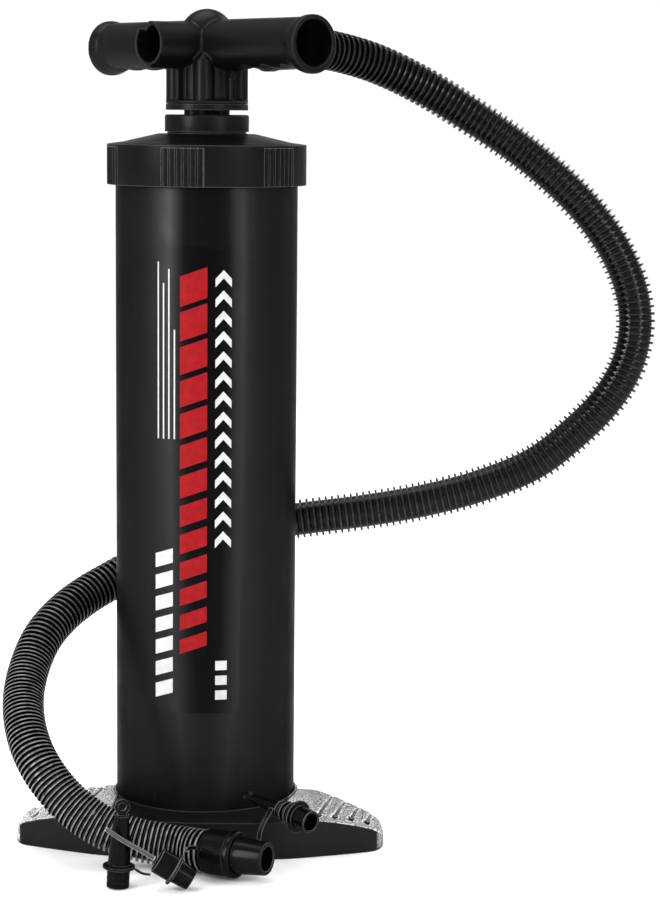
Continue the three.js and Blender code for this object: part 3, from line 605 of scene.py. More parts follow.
def route_samples(points, per_span=60):
    """A centripetal Catmull-Rom curve through the points, as in the CAD, as closely spaced points."""
    line = [Vector(p) for p in points]
    line = [2 * line[0] - line[1], *line, 2 * line[-1] - line[-2]]
    samples = []
    for a, b, c, d in zip(line, line[1:], line[2:], line[3:]):
        ta, tb = 0, (b - a).length ** 0.5
        tc = tb + (c - b).length ** 0.5
        td = tc + (d - c).length ** 0.5
        for step in range(per_span):
            t = tb + (tc - tb) * step / per_span
            ab = a * ((tb - t) / (tb - ta)) + b * ((t - ta) / (tb - ta))
            bc = b * ((tc - t) / (tc - tb)) + c * ((t - tb) / (tc - tb))
            cd = c * ((td - t) / (td - tc)) + d * ((t - tc) / (td - tc))
            abc = ab * ((tc - t) / (tc - ta)) + bc * ((t - ta) / (tc - ta))
            bcd = bc * ((td - t) / (td - tb)) + cd * ((t - tb) / (td - tb))
            samples.append(abc * ((tc - t) / (tc - tb)) + bcd * ((t - tb) / (tc - tb)))
    return samples + [line[-2]]


class Route:
    """A line of points that can be read at any distance along it, with a frame that doesn't twist."""

    def __init__(self, points):
        self.points = points
        self.reach = [0.0]
        for a, b in zip(points, points[1:]):
            self.reach.append(self.reach[-1] + (b - a).length)
        self.length = self.reach[-1]
        ahead = [(b - a).normalized() for a, b in zip(points, points[1:])]
        self.ahead = [ahead[0]] + [(p + q).normalized() for p, q in zip(ahead, ahead[1:])] + [ahead[-1]]
        side = Vector((0, 0, 1)).cross(self.ahead[0]).normalized()
        self.side = [side]
        for direction in self.ahead[1:]:
            side = (side - direction * side.dot(direction)).normalized()
            self.side.append(side)

    def at(self, distance):
        """(point, side, up) at a distance along the line."""
        distance = min(max(distance, 0), self.length)
        low, high = 0, len(self.reach) - 1
        while high - low > 1:
            middle = (low + high) // 2
            low, high = (middle, high) if self.reach[middle] <= distance else (low, middle)
        t = (distance - self.reach[low]) / (self.reach[high] - self.reach[low])
        ahead = self.ahead[low].lerp(self.ahead[high], t).normalized()
        side = self.side[low].lerp(self.side[high], t)
        side = (side - ahead * side.dot(ahead)).normalized()
        return self.points[low].lerp(self.points[high], t), side, ahead.cross(side)


# One thin fin: (share of the pitch, share of the way from the root to the tip).
FIN = [(0.0, 0.24), (0.06, 0.2), (0.11, 0.03), (0.18, 0.0), (0.28, 0.0), (0.31, 0.1), (0.33, 0.88),
       (0.36, 1.0), (0.64, 1.0), (0.67, 0.88), (0.69, 0.1), (0.72, 0.0), (0.82, 0.0), (0.89, 0.03),
       (0.94, 0.2)]
# The fins crowd together in the lower loop: (mm along the hose, pitch).
FIN_PITCHES = [(0, 3.95), (720, 3.95), (780, 2.75), (890, 2.6), (950, 3.3), (1000, 3.3)]
HOSE_SIDES = 40


def fin_starts(start, end):
    """Where each fin's stretch of hose starts, in metres, and where the last one ends."""
    marks = [start]
    while marks[-1] < end:
        marks.append(marks[-1] + height_at(marks[-1] / MM, FIN_PITCHES) * MM)
    fit = (end - start) / (marks[-1] - start)
    return [start + (mark - start) * fit for mark in marks]


def finned_tube(route, start, end):
    """Rings of the finned hose from one distance to another, with its bore, in millimetres."""
    marks = fin_starts(start, end)
    rings = [(start, HOSE_BORE_R)]
    for mark, following in zip(marks, marks[1:]):
        rings += [(mark + share * (following - mark), HOSE_ROOT_R + rise * (HOSE_R - HOSE_ROOT_R))
                  for share, rise in FIN]
    rings += [(end, HOSE_ROOT_R), (end, HOSE_BORE_R)]
    corners = []
    for distance, radius in rings:
        point, side, up = route.at(distance)
        for _, x, y in ring_places(HOSE_SIDES, radius, 0):
            corners.append(tuple(point / MM + side * x + up * y))
    return corners, tube_faces(corners, HOSE_SIDES)


hose = Route(route_samples(HOSE_ROUTE))
split = hose.length * HOSE_SPLIT


upper_hose = piece("corrugated_hose_upper", finned_tube(hose, 0, split), HOSE_PLASTIC, None,
                   ["hose_upper"])
lower_hose = piece("corrugated_hose_lower", finned_tube(hose, split, hose.length), HOSE_PLASTIC, None,
                   ["hose_lower"])

# -------------------------------- hose fittings and adapters

end_point, _, _ = hose.at(hose.length)
end_ahead = hose.ahead[-1]
fitting_turn = Vector((1, 0, 0)).rotation_difference(end_ahead).to_matrix().to_4x4()
fitting_place = Matrix.Translation(end_point / MM) @ fitting_turn
NOZZLE_END = 38


def fitting(name, profile, node, radius=0.5):
    shape = placed(along_x(turned_solid(profile, radius, 72)), fitting_place)
    return piece(name, shape, GLOSS, "root", [node])


end_cuff = fitting("end_cuff", [
    (HOSE_BORE_R, 0.3), (12.2, 0.3), (12.6, 2), (12.6, 15.5), (13.1, 16), (13.1, 19), (12.4, 20),
    (HOSE_BORE_R, 20)], "hose_end_cuff")
nozzle = fitting("end_nozzle", [
    (6.8, 20.3), (10.4, 20.3), (10.2, 24), (9.3, NOZZLE_END - 0.6), (8.9, NOZZLE_END), (6.8, NOZZLE_END)],
    "hose_nozzle", 0.4)


TALL_EYE_Z = 45.2


def tall_adapter():
    body = turned_solid([
        (0, 2), (4.6, 2), (4.6, 0), (6.3, 0), (6.3, 3), (6, 3.4), (6.3, 3.8), (6.3, 6.2), (6, 6.6), (6.3, 7),
        (6.3, 10), (8.9, 10.6), (8.9, 12.2), (6.2, 12.8), (5.6, 24), (4.1, 40), (0, 40)], 0.35, 40)
    eye = moved(along_y(disc(4.3, -1.4, 1.4, 32)), z=TALL_EYE_Z)
    neck = box((-2.6, 2.6), (-1.4, 1.4), (38, TALL_EYE_Z - 2))
    hole = moved(along_y(disc(2.1, -3, 3, 24)), z=TALL_EYE_Z)
    return fused([body, neck, eye], [hole], 0.25, 3)


def short_adapter():
    body = turned_solid([
        (4.8, -10.8), (7.3, -10.8), (7.3, -0.7), (9, -0.7), (9, 0.7), (6.9, 0.7), (6.2, 10.8), (4.8, 10.8)],
        0.35, 48)
    return along_x(body)


EYE_R = 2.7  # of the ribbed adapter's oval end
EYE_WIRE_R = 1.1
EYE_STRETCH = 1.25


def ribbed_adapter():
    fins = []
    for at, radius in ((28, 5.4), (32.4, 6.2), (36.8, 7)):
        fins += [(3.9, at), (radius, at), (radius, at + 1), (3.9, at + 1)]
    stem = along_x(turned_solid([(0, 3), (1.9, 3), (2.4, 7)] + fins + [
        (4.2, 40.6), (9.2, 41.2), (9.2, 42.8), (6.5, 43.2), (6.3, 53.2), (5, 53.2), (5, 44), (0, 44)],
        0.25, 48))
    wire = [(EYE_R + x, y) for x, y in arc(EYE_WIRE_R, 0, 360, 12)]
    eye = spun(lathe(wire, 32), 90, "X")
    eye = [(EYE_STRETCH * x, y, z) for x, y, z in eye[0]], eye[1]
    return fused([stem, eye], [], 0.25, 2)


def standing_at(x, y, z, tip=0, turn=0):
    return (Matrix.Translation((x, y, z)) @ Matrix.Rotation(math.radians(turn), 4, "Z")
            @ Matrix.Rotation(math.radians(tip), 4, "Y"))


ADAPTERS = [  # kind, shape, place in mm and its tip and turn in degrees
    ("tall", tall_adapter, (-36.9, -128, 0.5, 3.3, 12)),
    ("short", short_adapter, (-5.3, -131, 11.5, 31.5, 4)),
    ("ribbed", ribbed_adapter, (29.4, -63.3, 34.9, 4.5, -43.8)),
]
adapters = [piece("valve_adapter_" + kind, placed(shape(), standing_at(*place)), GLOSS, "root",
                  ["adapter_" + kind], 50) for kind, shape, place in ADAPTERS]

STRAPS = [  # name, width, whether its face is turned sideways, material, route
    ("strap_cuff_to_short", 2.4, False, GLOSS, [(5, -117, 20), (1.5, -123, 21.5), (0.5, -127.5, 21.8)]),
    ("strap_short_to_tall", 2.6, False, PAINTED_GLINT_STRAP,
     [(-15.7, -136.6, 19.2), (-23.7, -136.3, 23.9), (-32.4, -136.2, 28.7), (-42.3, -136, 35.2)]),
    ("strap_tall_foot", 1.3, False, GLOSS, [(-27.4, -128.6, 10.8), (-23, -129.6, 8.6), (-18.7, -130.6, 8.4)]),
    ("strap_cuff_to_ribbed", 2.6, True, GLOSS,
     [(38.8, -103, 20.6), (39.2, -100.8, 24), (41, -96, 28.6), (43.4, -91, 32), (44.8, -86.2, 34)]),
]
STRAP_HALF_THICKNESS = 0.6
STRAP_STEPS = 24


def strap(width, turned, route):
    """A flat moulded strap along a route, with rounded edges."""
    line = Route(route_samples(route, 12))
    thick, half = STRAP_HALF_THICKNESS, width / 2
    section = rounded([(-thick, -half), (thick, -half), (thick, half), (-thick, half)], 0.4, 3, closed=True)
    corners = []
    for i in range(STRAP_STEPS + 1):
        point, side, up = line.at(line.length * i / STRAP_STEPS)
        face, across = (up, side) if turned else (side, up)
        corners += [tuple(point + face * x + across * y) for x, y in section]
    return corners, tube_faces(corners, len(section))


straps = [piece(name + "_band", strap(width, turned, route), material, "root", [name])
          for name, width, turned, material, route in STRAPS]

handle_place = Matrix.Translation((0, 0, HANDLE_Z)) @ Matrix.Rotation(math.radians(HANDLE_TURN), 4, "Z")


def upper_cuff():
    spigot = PORT_BORE_R - GAP
    shoulder = PORT_LENGTH + GAP
    return turned_solid([
        (HOSE_BORE_R, 24), (spigot, 24), (spigot, 33.7), (spigot - 1.3, 33.7), (spigot - 1.3, 36.7),
        (spigot, 36.7), (spigot, shoulder), (14, shoulder), (14.4, shoulder + 0.6), (14.4, 50),
        (13.6, 51.5), (12.8, CUFF_END), (HOSE_BORE_R, CUFF_END)], 0.4, 72)


upper_cuff_piece = piece("hose_cuff_at_handle", placed(along_y(upper_cuff()), handle_place), SATIN, "rod",
                         ["hose_cuff_upper"])

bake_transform(upper_hose)
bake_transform(lower_hose)

# -------------------------------- barrel and label

piece("barrel_tube", turned_solid([
    (BARREL_BORE_R, FOOT_FLOOR + GAP), (BARREL_R, FOOT_FLOOR + GAP), (BARREL_R, BARREL_TOP),
    (BARREL_BORE_R, BARREL_TOP)], 0.6, 144), BARREL_PLASTIC, "root", ["barrel"])


def curved_patch(inner, outer, corners):
    """A thin patch on a cylinder about Z. corners are (degrees, height) and go round it once."""
    def along(a, b, steps):
        return [(a[0] + (b[0] - a[0]) * i / steps, a[1] + (b[1] - a[1]) * i / steps) for i in range(steps)]

    lower, upper = corners[0:2], corners[3:1:-1]
    steps = max(2, int(abs(lower[1][0] - lower[0][0]) / 1.5))
    bottom = along(lower[0], lower[1], steps) + [lower[1]]
    top = along(upper[0], upper[1], steps) + [upper[1]]
    points, faces = [], []
    for radius in (inner, outer):
        for line in (bottom, top):
            points += [(radius * math.cos(math.radians(d)), radius * math.sin(math.radians(d)), z)
                       for d, z in line]
    n = steps + 1
    for i in range(steps):
        for a, b in ((0, n), (n, 3 * n), (3 * n, 2 * n), (2 * n, 0)):
            faces.append((a + i, a + i + 1, b + i + 1, b + i))
    faces.append((0, n, 3 * n, 2 * n))
    faces.append((steps, n + steps, 3 * n + steps, 2 * n + steps))
    return points, faces


def merged(shapes):
    corners, faces = [], []
    for shape in shapes:
        base = len(corners)
        corners += shape[0]
        faces += [tuple(base + i for i in face) for face in shape[1]]
    return corners, faces


piece("label_film", curved_patch(LABEL_R, LABEL_R + 0.4, [
    (LABEL_FROM, LABEL_BOTTOM), (LABEL_TO, LABEL_BOTTOM), (LABEL_TO, LABEL_TOP), (LABEL_FROM, LABEL_TOP)]),
    LABEL_FILM, "root", ["label_skin"])
INK_INNER = LABEL_R + 0.38
INK_OUTER = LABEL_R + 0.44

# The print's edges are in degrees about Z and its heights in mm.
RED_BARS = 13
RED_BAR_EDGES = (-101.2, -84.5)
RED_BAR_TOP = 330
RED_BAR_THICKNESS, RED_BAR_THINNING = 17.2, 0.75
RED_BAR_GAP, RED_BAR_GAP_GROWTH = 3, 0.22
RED_BAR_SLANT = 5.5
CHEVRONS = 14
CHEVRON_BOTTOM = 176
CHEVRON_PITCH = 11.4
CHEVRON_THICKNESS = 4.6
CHEVRON_RISE = 5
WHITE_BLOCKS = 7
WHITE_BLOCK_PITCH = 12.6
SMALL_BLOCKS = 3
SMALL_BLOCK_PITCH = 8.6
RULE_BOTTOM = 238
RULE_TOPS = (338, 326, 334, 300)
RULE_WIDTH = 0.9


def slanted_bar(left, right, low, high, slant):
    """A printed bar; slant is how much higher its right end is."""
    return curved_patch(INK_INNER, INK_OUTER, [
        (left, low), (right, low + slant), (right, high + slant), (left, high)])


def speed_bars():
    """Red bars that get thinner down the label, with slanted ends."""
    shapes = []
    height = RED_BAR_TOP
    for i in range(RED_BARS):
        thick = RED_BAR_THICKNESS - RED_BAR_THINNING * i
        shapes.append(slanted_bar(*RED_BAR_EDGES, height - thick, height, RED_BAR_SLANT))
        height -= thick + RED_BAR_GAP + RED_BAR_GAP_GROWTH * i
    return merged(shapes)


def white_marks():
    """White chevrons on the right, short bars on the left and a few fine rules."""
    shapes = []
    for i in range(CHEVRONS):
        low = CHEVRON_BOTTOM + CHEVRON_PITCH * i
        tip = low + CHEVRON_RISE
        shapes.append(slanted_bar(-79.6, -74.6, low, low + CHEVRON_THICKNESS, CHEVRON_RISE))
        shapes.append(slanted_bar(-74.6, -69.6, tip, tip + CHEVRON_THICKNESS, -CHEVRON_RISE))
    for i in range(WHITE_BLOCKS):
        low = 88 + WHITE_BLOCK_PITCH * i
        shapes.append(slanted_bar(-117.5, -105.7, low, low + 8.2, 3.6))
    for i in range(SMALL_BLOCKS):
        low = 88 + SMALL_BLOCK_PITCH * i
        shapes.append(slanted_bar(-79.2, -72, low, low + 5.4, 0))
    for i, end in enumerate(RULE_TOPS):
        left = -116 + 3.6 * i
        shapes.append(slanted_bar(left, left + RULE_WIDTH, RULE_BOTTOM, end, 0))
    return merged(shapes)


piece("label_print_red", speed_bars(), RED_INK, "root", sharp=30)
piece("label_print_white", white_marks(), WHITE_INK, "root", sharp=30)

# -------------------------------- cap

RIBS_PER_GROUP = 6
CAP_COLUMNS = 1080


def cap_radius(radius, angle, height):
    """The skirt's radius: smooth lands, and recessed groups of fine vertical ribs."""
    if radius < CAP_R - 0.65 or height > CAP_RIM_TOP - 1.6:
        return radius
    spacing = 360 / GRIP_GROUPS
    degrees = (math.degrees(angle) - GRIP_FIRST_ANGLE + spacing / 2) % spacing - spacing / 2
    if abs(degrees) > GRIP_WIDTH / 2:
        return radius
    phase = (degrees / GRIP_WIDTH + 0.5) * RIBS_PER_GROUP % 1
    rise = max(0.0, math.sin(math.pi * (phase - 0.2) / 0.6)) if 0.2 < phase < 0.8 else 0.0
    return radius - GRIP_DEPTH * (1 - rise ** 0.6)


def cap():
    skirt_bore = BARREL_R + 0.5
    guide_bore = GUIDE_R + 0.4
    outer = rounded([
        (skirt_bore, CAP_BOTTOM), (CAP_R, CAP_BOTTOM), (CAP_R, CAP_RIM_TOP - 1.7), (CAP_R, CAP_RIM_TOP - 1.5),
        (CAP_R, CAP_RIM_TOP), (48, 404.3), (28, 409), (NECK_R, 409), (NECK_R, NECK_TOP),
        (guide_bore, NECK_TOP)], 0.5, 2)
    inner = [(guide_bore, CAP_PLATE_UNDERSIDE), (skirt_bore, CAP_PLATE_UNDERSIDE), (skirt_bore, CAP_BOTTOM)]
    return lathe(outer + inner, CAP_COLUMNS, cap_radius)


piece("screw_cap", cap(), CAP_PLASTIC, "root", ["top_cap"], 35)

# -------------------------------- rod and guide


def twin_outline(grow=0, steps=28):
    """The outline of the two rod tubes and the web between them, grown by a clearance."""
    radius = ROD_TUBE_R + grow
    bite = math.degrees(math.asin((ROD_WAIST + grow) / radius))
    upper = [(x, y + ROD_TUBE_R) for x, y in arc(radius, bite - 90, 270 - bite, steps)]
    lower = [(x, y - ROD_TUBE_R) for x, y in arc(radius, 90 + bite, 450 - bite, steps)]
    return upper + lower


turn_handle = Matrix.Rotation(math.radians(HANDLE_TURN), 4, "Z")


def twin_rod():
    bore = disc(ROD_BORE_R, ROD_BOTTOM - 1, ROD_TOP + 1, 40)
    bores = [moved(bore, y=side * ROD_TUBE_R) for side in (-1, 1)]
    return fused([prism(twin_outline(), ROD_BOTTOM, ROD_TOP)], bores, 0)


piece("twin_tube_rod", placed(twin_rod(), turn_handle), SATIN, "rod", ["piston_rod"], 30)


def collar():
    bottom = NECK_TOP + 0.03  # the joint with the neck is hair fine
    body = turned_solid([
        (0, bottom), (COLLAR_R, bottom), (COLLAR_R, COLLAR_TOP - 1), (COLLAR_R - 0.35, COLLAR_TOP - 0.35),
        (COLLAR_R - 1, COLLAR_TOP), (0, COLLAR_TOP)], 0.2, 96, 3)
    pocket = disc(GUIDE_R + GAP, COLLAR_BOTTOM - 1, COLLAR_TOP - 3, 64)
    return fused([body], [pocket, prism(twin_outline(ROD_CLEARANCE), COLLAR_BOTTOM, COLLAR_TOP + 1)], 0)


piece("guide_collar_ring", placed(collar(), turn_handle), SATIN, "guide", ["guide_collar"], 35)

# -------------------------------- handle

HOUSING_FLOOR = HOUSING_BOTTOM + HOUSING_FLANGE + GAP
SOCKET_TOP = ROD_TOP + 2.1


def handle_arm():
    """The tube of one arm with its flange, along +X."""
    tube = along_x(disc(ARM_R, 0, ARM_HALF_LENGTH - 1, 96))
    flange = moved(along_x(turned_solid([
        (0, 80), (ARM_R - 1, 80), (ARM_R + 0.5, 84), (ARM_R + 0.5, 85.2), (ARM_R + 1.2, 86.4),
        (ARM_FLANGE_R, 89.4), (ARM_FLANGE_R, ARM_HALF_LENGTH), (0, ARM_HALF_LENGTH)], 0.5, 96)),
        z=-ARM_FLANGE_DROP)
    return [tube, flange]


def arm_cuts():
    """The bore of one arm and the finger grooves under it."""
    cuts = [along_x(lathe([
        (0, 26), (ARM_INNER_R, 26), (ARM_INNER_R, ARM_HALF_LENGTH - 18), (ARM_BORE_R, ARM_HALF_LENGTH - 11),
        (ARM_BORE_R, ARM_HALF_LENGTH + 1), (0, ARM_HALF_LENGTH + 1)], 96))]
    groove = along_y(disc(FINGER_GROOVE_R, -ARM_R - 2, ARM_R + 2, 64))
    below = FINGER_DEPTH - FINGER_GROOVE_R - ARM_R
    for i in range(FINGER_GROOVES):
        cuts.append(moved(groove, FINGER_FIRST_X + i * FINGER_PITCH, 0, below))
    return cuts


def curve_2d(start, control, end, steps=10):
    """Points of a quadratic curve."""
    a, b, c = Vector(start), Vector(control), Vector(end)
    ts = [i / steps for i in range(steps + 1)]
    return [tuple(a * (1 - t) ** 2 + b * 2 * t * (1 - t) + c * t ** 2) for t in ts]


def arm_gusset():
    """A curved web that braces the arm against the column, in the XZ plane."""
    floor = HOUSING_FLOOR - HANDLE_Z
    curve = curve_2d((HUB_R + 0.3, floor + 4), (HUB_R + 2, -17), (33, -ARM_R + 1))
    outline = [(8, floor), (HUB_R - 0.5, floor)] + curve + [(33, -ARM_R + 1.5), (8, -ARM_R + 1.5)]
    return spun(prism(outline, -1.5, 1.5), 90, "X")


def handle():
    floor = HOUSING_FLOOR - HANDLE_Z
    gusset = arm_gusset()
    adds = [disc(HUB_R, floor, 0, 96), disc(HOUSING_R, floor, floor + HOUSING_BASE, 96)]
    for side in (0, 180):
        adds += [spun(s, side) for s in handle_arm()]
        adds.append(spun(gusset, side))
    adds.append(along_y(disc(PORT_R, -PORT_LENGTH, PORT_LENGTH, 96)))
    adds.append(moved(ball(DOME_R, 96), z=DOME_TOP - HANDLE_Z - DOME_R))
    adds.append(box((-HOUSING_R + 1, HOUSING_R - 1), (-1.2, 1.2), (floor, -8)))
    adds.append(box((-1.2, 1.2), (-HOUSING_R + 1, HOUSING_R - 1), (floor, -8)))
    boss = lathe([(0, floor), (BOSS_R, floor), (BOSS_R, -8.6), (0, -3)], 48)
    adds += [moved(boss, x, y) for _, x, y in ring_places(4, BOSS_CIRCLE_R, 45)]
    adds.append(box((-1.6, 1.6), (-PORT_LENGTH + 1, -18), (-PORT_R - 1.4, -PORT_R + 1)))

    cuts = [prism(twin_outline(ROD_CLEARANCE), floor - 1, SOCKET_TOP - HANDLE_Z),
            box((-9, 0), (-PORT_LENGTH - 1, -PORT_LENGTH + 5), (6, PORT_R + 1))]
    for side in (0, 180):
        cuts += [spun(s, side) for s in arm_cuts()]
        cuts.append(spun(along_y(disc(PORT_BORE_R, 3, PORT_LENGTH + 1, 96)), side))
        cuts.append(spun(moved(disc(ROD_BORE_R, floor, 0, 40), y=ROD_TUBE_R), side))
    for _, x, y in ring_places(4, BOSS_CIRCLE_R, 45):
        cuts.append(moved(disc(1.8, floor - 1, floor + 13, 16), x, y))
    return placed(fused(adds, cuts, 0.6, 5), handle_place)


piece("t_handle", handle(), SATIN, "rod", ["handle_body"], None)


def flange_plate():
    top = HOUSING_FLOOR - 0.03
    rim = turned_solid([
        (0, HOUSING_BOTTOM), (HOUSING_R, HOUSING_BOTTOM), (HOUSING_R, top), (0, top)], 0.25, 96)
    cuts = [prism(twin_outline(ROD_CLEARANCE), HOUSING_BOTTOM - 1, HOUSING_BOTTOM + HOUSING_FLANGE + 1)]
    for _, x, y in ring_places(4, BOSS_CIRCLE_R, 45):
        cuts.append(moved(disc(1.8, HOUSING_BOTTOM - 1, HOUSING_BOTTOM + HOUSING_FLANGE + 1, 20), x, y))
        cuts.append(moved(disc(3.5, HOUSING_BOTTOM - 1, HOUSING_BOTTOM + FLANGE_COUNTERBORE, 32), x, y))
    return placed(fused([rim], cuts, 0), turn_handle)


piece("housing_flange", flange_plate(), SATIN, "rod", ["socket_flange"], 35)

# -------------------------------- foot

FOOT_TOP_LINE = [(0, FOOT_TOP), (68, FOOT_TOP), (80, 19.4), (92, 16.4), (101, 13.4), (105, 11),
                 (FOOT_HALF_LENGTH, 7), (FOOT_HALF_LENGTH + 0.2, 0)]
TREADS_PER_SIDE = 4
TREAD_FIRST_X = 69
TREAD_PITCH = 9.2
TREAD_HALF_WIDTH = 0.9
TREAD_DEPTH = 1.9
TREAD_SLANT = -8  # degrees that the grooves are turned, seen from above
TREAD_STEP = 0.9  # how far each plate's inner edge is under the plate before it
TREAD_FRONT = -56  # where the first groove starts; each next one starts a little further back
TREAD_FRONT_STEP = 3.4
NOTCH_LENGTH = 8.5  # the deep front end of each groove
NOTCH_HALF_WIDTH = 1.7
NOTCH_DEPTH = 5
UNDERSIDE_POCKETS = [(62, 6, -12), (77, 6, -24), (91, 4, -32)]  # x, half width, back
POCKET_FRONT = -48
POCKET_SKIN = 7  # left above a pocket
FOOT_CORNER = (98, -53.5)  # where the bowed front ends
REST_BACK = (68, -0.5)  # where a rest's back edge turns in to the ring behind the barrel
FOOT_MEET_ANGLE = 3  # where it meets that ring


def smooth_2d(points, steps=6):
    """A smooth line through 2-D points."""
    samples = route_samples([(x, y, 0) for x, y in points], steps)
    return [(v.x, v.y) for v in samples]


def foot_plan():
    """Seen from above: a bowed front, two foot rests, and a half round behind the barrel."""
    meet_x, meet_y = arc(FOOT_BACK_R, FOOT_MEET_ANGLE, 90, 1)[0]
    side = (FOOT_HALF_LENGTH, -35)
    right = smooth_2d([(0, -FOOT_FRONT), (50, -70.5), (79, -61), FOOT_CORNER])
    right += curve_2d(FOOT_CORNER, (FOOT_HALF_LENGTH, -50), side, 8)[1:]
    right += smooth_2d([side, (103, -24), (83, -10.5), REST_BACK])[1:]
    right += curve_2d(REST_BACK, (61, 4), (meet_x, meet_y), 6)[1:]
    right += arc(FOOT_BACK_R, FOOT_MEET_ANGLE, 90, 24)[1:]
    left = [(-x, y) for x, y in reversed(right[1:-1])]
    return right + left


def tread_cuts(side):
    """The grooves across one foot rest, each a small step down towards the end, with a notch in front."""
    cuts = []
    for i in range(TREADS_PER_SIDE):
        x = TREAD_FIRST_X + i * TREAD_PITCH
        top = height_at(x, FOOT_TOP_LINE)
        front = TREAD_FRONT + i * TREAD_FRONT_STEP
        groove = box((-TREAD_HALF_WIDTH, TREAD_HALF_WIDTH), (0, 20 - front), (top - TREAD_DEPTH, top + 4))
        notch = box((-NOTCH_HALF_WIDTH, NOTCH_HALF_WIDTH), (0, NOTCH_LENGTH), (top - NOTCH_DEPTH, top + 4))
        inner, outer = TREAD_HALF_WIDTH, 0.6 * TREAD_PITCH
        outer_top = height_at(x + outer, FOOT_TOP_LINE) + 0.1
        step = [(side * inner, top - TREAD_STEP), (side * outer, outer_top),
                (side * outer, top + 4), (side * inner, top + 4)]
        plate_step = spun(prism(step, front - 20, -2), 90, "X")
        cuts += [moved(spun(cut, TREAD_SLANT), side * x, front) for cut in (groove, notch, plate_step)]
    return cuts


def foot():
    side_view = [(-x, z) for x, z in reversed(FOOT_TOP_LINE)] + FOOT_TOP_LINE[1:]
    side_view = rounded(side_view, 3, 4)[1:-1]
    reach, height = FOOT_HALF_LENGTH + 23, 60
    outline = [(-reach, -1), (-FOOT_HALF_LENGTH - 0.9, -1)] + side_view
    outline += [(FOOT_HALF_LENGTH + 0.9, -1), (reach, -1), (reach, height), (-reach, height)]
    depth = FOOT_FRONT + FOOT_BACK_R
    above = spun(prism(outline, -depth, depth), 90, "X")
    plate = fused([prism(foot_plan(), 0, FOOT_TOP + 1)], [above], 0)
    cuts = [disc(BARREL_R + GAP, FOOT_FLOOR, BEAD_TOP + 1, 144)]
    for side in (-1, 1):
        cuts += tread_cuts(side)
        for x, half, back in UNDERSIDE_POCKETS:
            roof = height_at(x, FOOT_TOP_LINE) - POCKET_SKIN
            cuts.append(box((side * x - half, side * x + half), (POCKET_FRONT, back), (-1, roof)))
    for _, x, y in ring_places(4, FOOT_SCREW_CIRCLE_R, 45):
        cuts.append(moved(disc(2.3, -1, FOOT_FLOOR + 1, 24), x, y))
        cuts.append(moved(disc(4.5, -1, FOOT_COUNTERBORE, 32), x, y))
    return fused([plate], cuts, 0.55, 2)


piece("foot_plate", foot(), FOOT_PLASTIC, "root", ["foot_base"], None)
piece("foot_bead", turned_solid([
    (BARREL_R + GAP, FOOT_TOP - 0.6), (BARREL_R + BEAD_WIDTH, FOOT_TOP - 0.6),
    (BARREL_R + BEAD_WIDTH, BEAD_TOP), (BARREL_R + GAP, BEAD_TOP)], 0.3, 144, 4),
    FOOT_PLASTIC, "root")

# -------------------------------- screws


def screw_shape(head_r, head_height, shank_r, length):
    """A pan head screw with a cross recess; its head's underside is at height 0."""
    body = turned_solid([(0, -head_height), (head_r, -head_height), (head_r, 0), (shank_r, 0),
                         (shank_r, length - 1), (0, length)], 0.6, 32)
    slot = box((-head_r * 0.6, head_r * 0.6), (-0.45, 0.45), (-head_height - 1, -head_height * 0.35))
    return fused([body], [slot, spun(slot, 90)], 0)


def screws(prefix, shape, circle_r, z, body, degrees):
    for i, (_, x, y) in enumerate(ring_places(4, circle_r, 45)):
        place = Matrix.Rotation(math.radians(degrees), 4, "Z") @ Matrix.Translation((x, y, z))
        node = f"{prefix}_{i + 1}"
        piece(node + "_crosshead", placed(shape, place), STEEL, body, [node], 30)


screws("foot_screw", screw_shape(4, 1.9, 1.9, 7.6), FOOT_SCREW_CIRCLE_R, FOOT_COUNTERBORE - GAP, "root", 0)
screws("socket_screw", screw_shape(3.1, 1.5, 1.5, 12), BOSS_CIRCLE_R,
       HOUSING_BOTTOM + FLANGE_COUNTERBORE - GAP, "rod", HANDLE_TURN)

# -------------------------------- carried-over CAD nodes

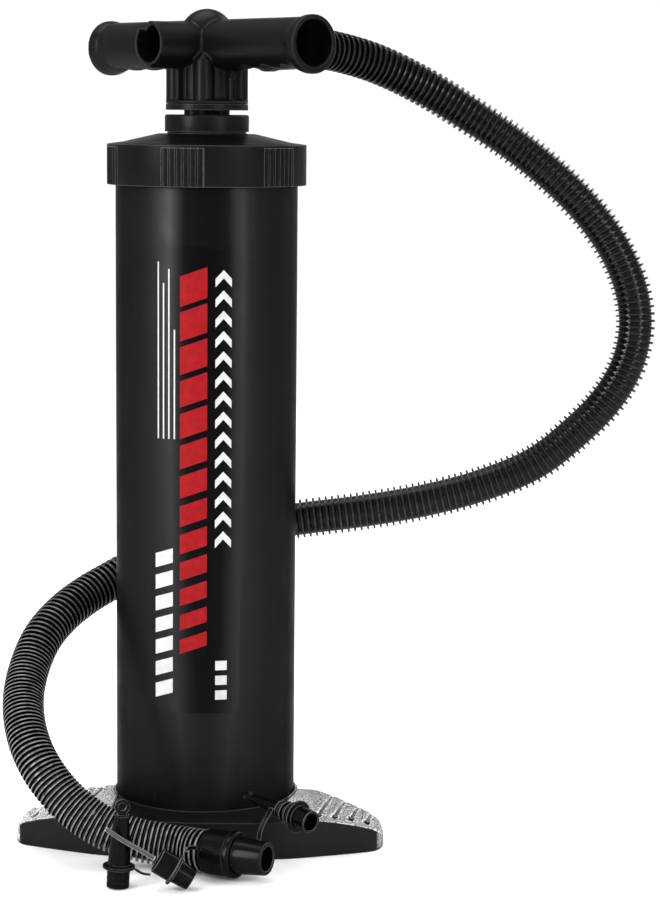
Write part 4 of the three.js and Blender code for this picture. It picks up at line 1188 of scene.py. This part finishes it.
CARRIED = [
    (MATT, ["barrel_end_plug", "piston_lower_plate", "piston_upper_plate"]),
    (RUBBER, ["end_plug_seal", "cap_gasket", "rod_seal", "stop_bumper", "piston_seal", "flap_valve_lower",
              "flap_valve_upper", "rod_top_gasket", "cuff_oring", "valve_disc_outlet",
              "valve_disc_transfer"]),
    (NATURAL, ["guide_sleeve"]),
    (STEEL, ["guide_retainer"] + [f"piston_screw_{i}" for i in range(1, 5)]),
]
for material, names in CARRIED:
    for name in names:
        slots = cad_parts[name].data.materials
        slots.clear()
        slots.append(material)

# -------------------------------- floor, backdrop and light


def studio():
    """A pale floor that curves up into a pale wall all round."""
    flat, bend_r, top = 2600, 1400, 3400
    curve = [(flat + bend_r * math.sin(math.radians(a)), bend_r * (1 - math.cos(math.radians(a))))
             for a in range(0, 91, 6)]
    shape = lathe([(0, 0)] + curve + [(flat + bend_r, top)], 96)
    n = Nodes("studio paper")
    n.join(n.mix(n.spread(n.noise(3, 2), 0, 1), (0.86, 0.86, 0.86), (0.88, 0.88, 0.88)),
           n.shader.inputs["Base Color"])
    n.shader.inputs["Roughness"].default_value = 0.9
    n.shader.inputs["Specular IOR Level"].default_value = 0.1
    stage = piece("studio_floor", shape, n.material, None, sharp=None)


def soft_light(name, place, aim, size, power):
    """A large soft box that lights the object and isn't seen by the camera."""
    light = bpy.data.lights.new(name, "AREA")
    light.shape = "RECTANGLE"
    light.size, light.size_y = size
    light.energy = power
    thing = bpy.data.objects.new(name, light)
    thing.location = place
    thing.rotation_euler = (Vector(aim) - Vector(place)).to_track_quat("-Z", "Y").to_euler()
    thing.visible_camera = False
    bpy.context.collection.objects.link(thing)


def make_light():
    world = bpy.data.worlds.new("studio")
    world.use_nodes = True
    world.node_tree.nodes["Background"].inputs["Color"].default_value = (1, 1, 1, 1)
    world.node_tree.nodes["Background"].inputs["Strength"].default_value = 1.0
    bpy.context.scene.world = world
    aim = (0, 0, 0.28)
    soft_light("left box", (-1.35, -1.25, 0.85), aim, (0.5, 1.3), 40)
    soft_light("right box", (1.3, -1.45, 0.8), aim, (0.4, 1.3), 17)
    soft_light("back box", (1.2, 1.5, 1.2), aim, (0.8, 1.4), 25)
    soft_light("top box", (-0.3, 0.3, 2.0), aim, (1.6, 1.2), 30)
    bpy.context.scene.view_settings.view_transform = "Standard"


studio()
make_light()
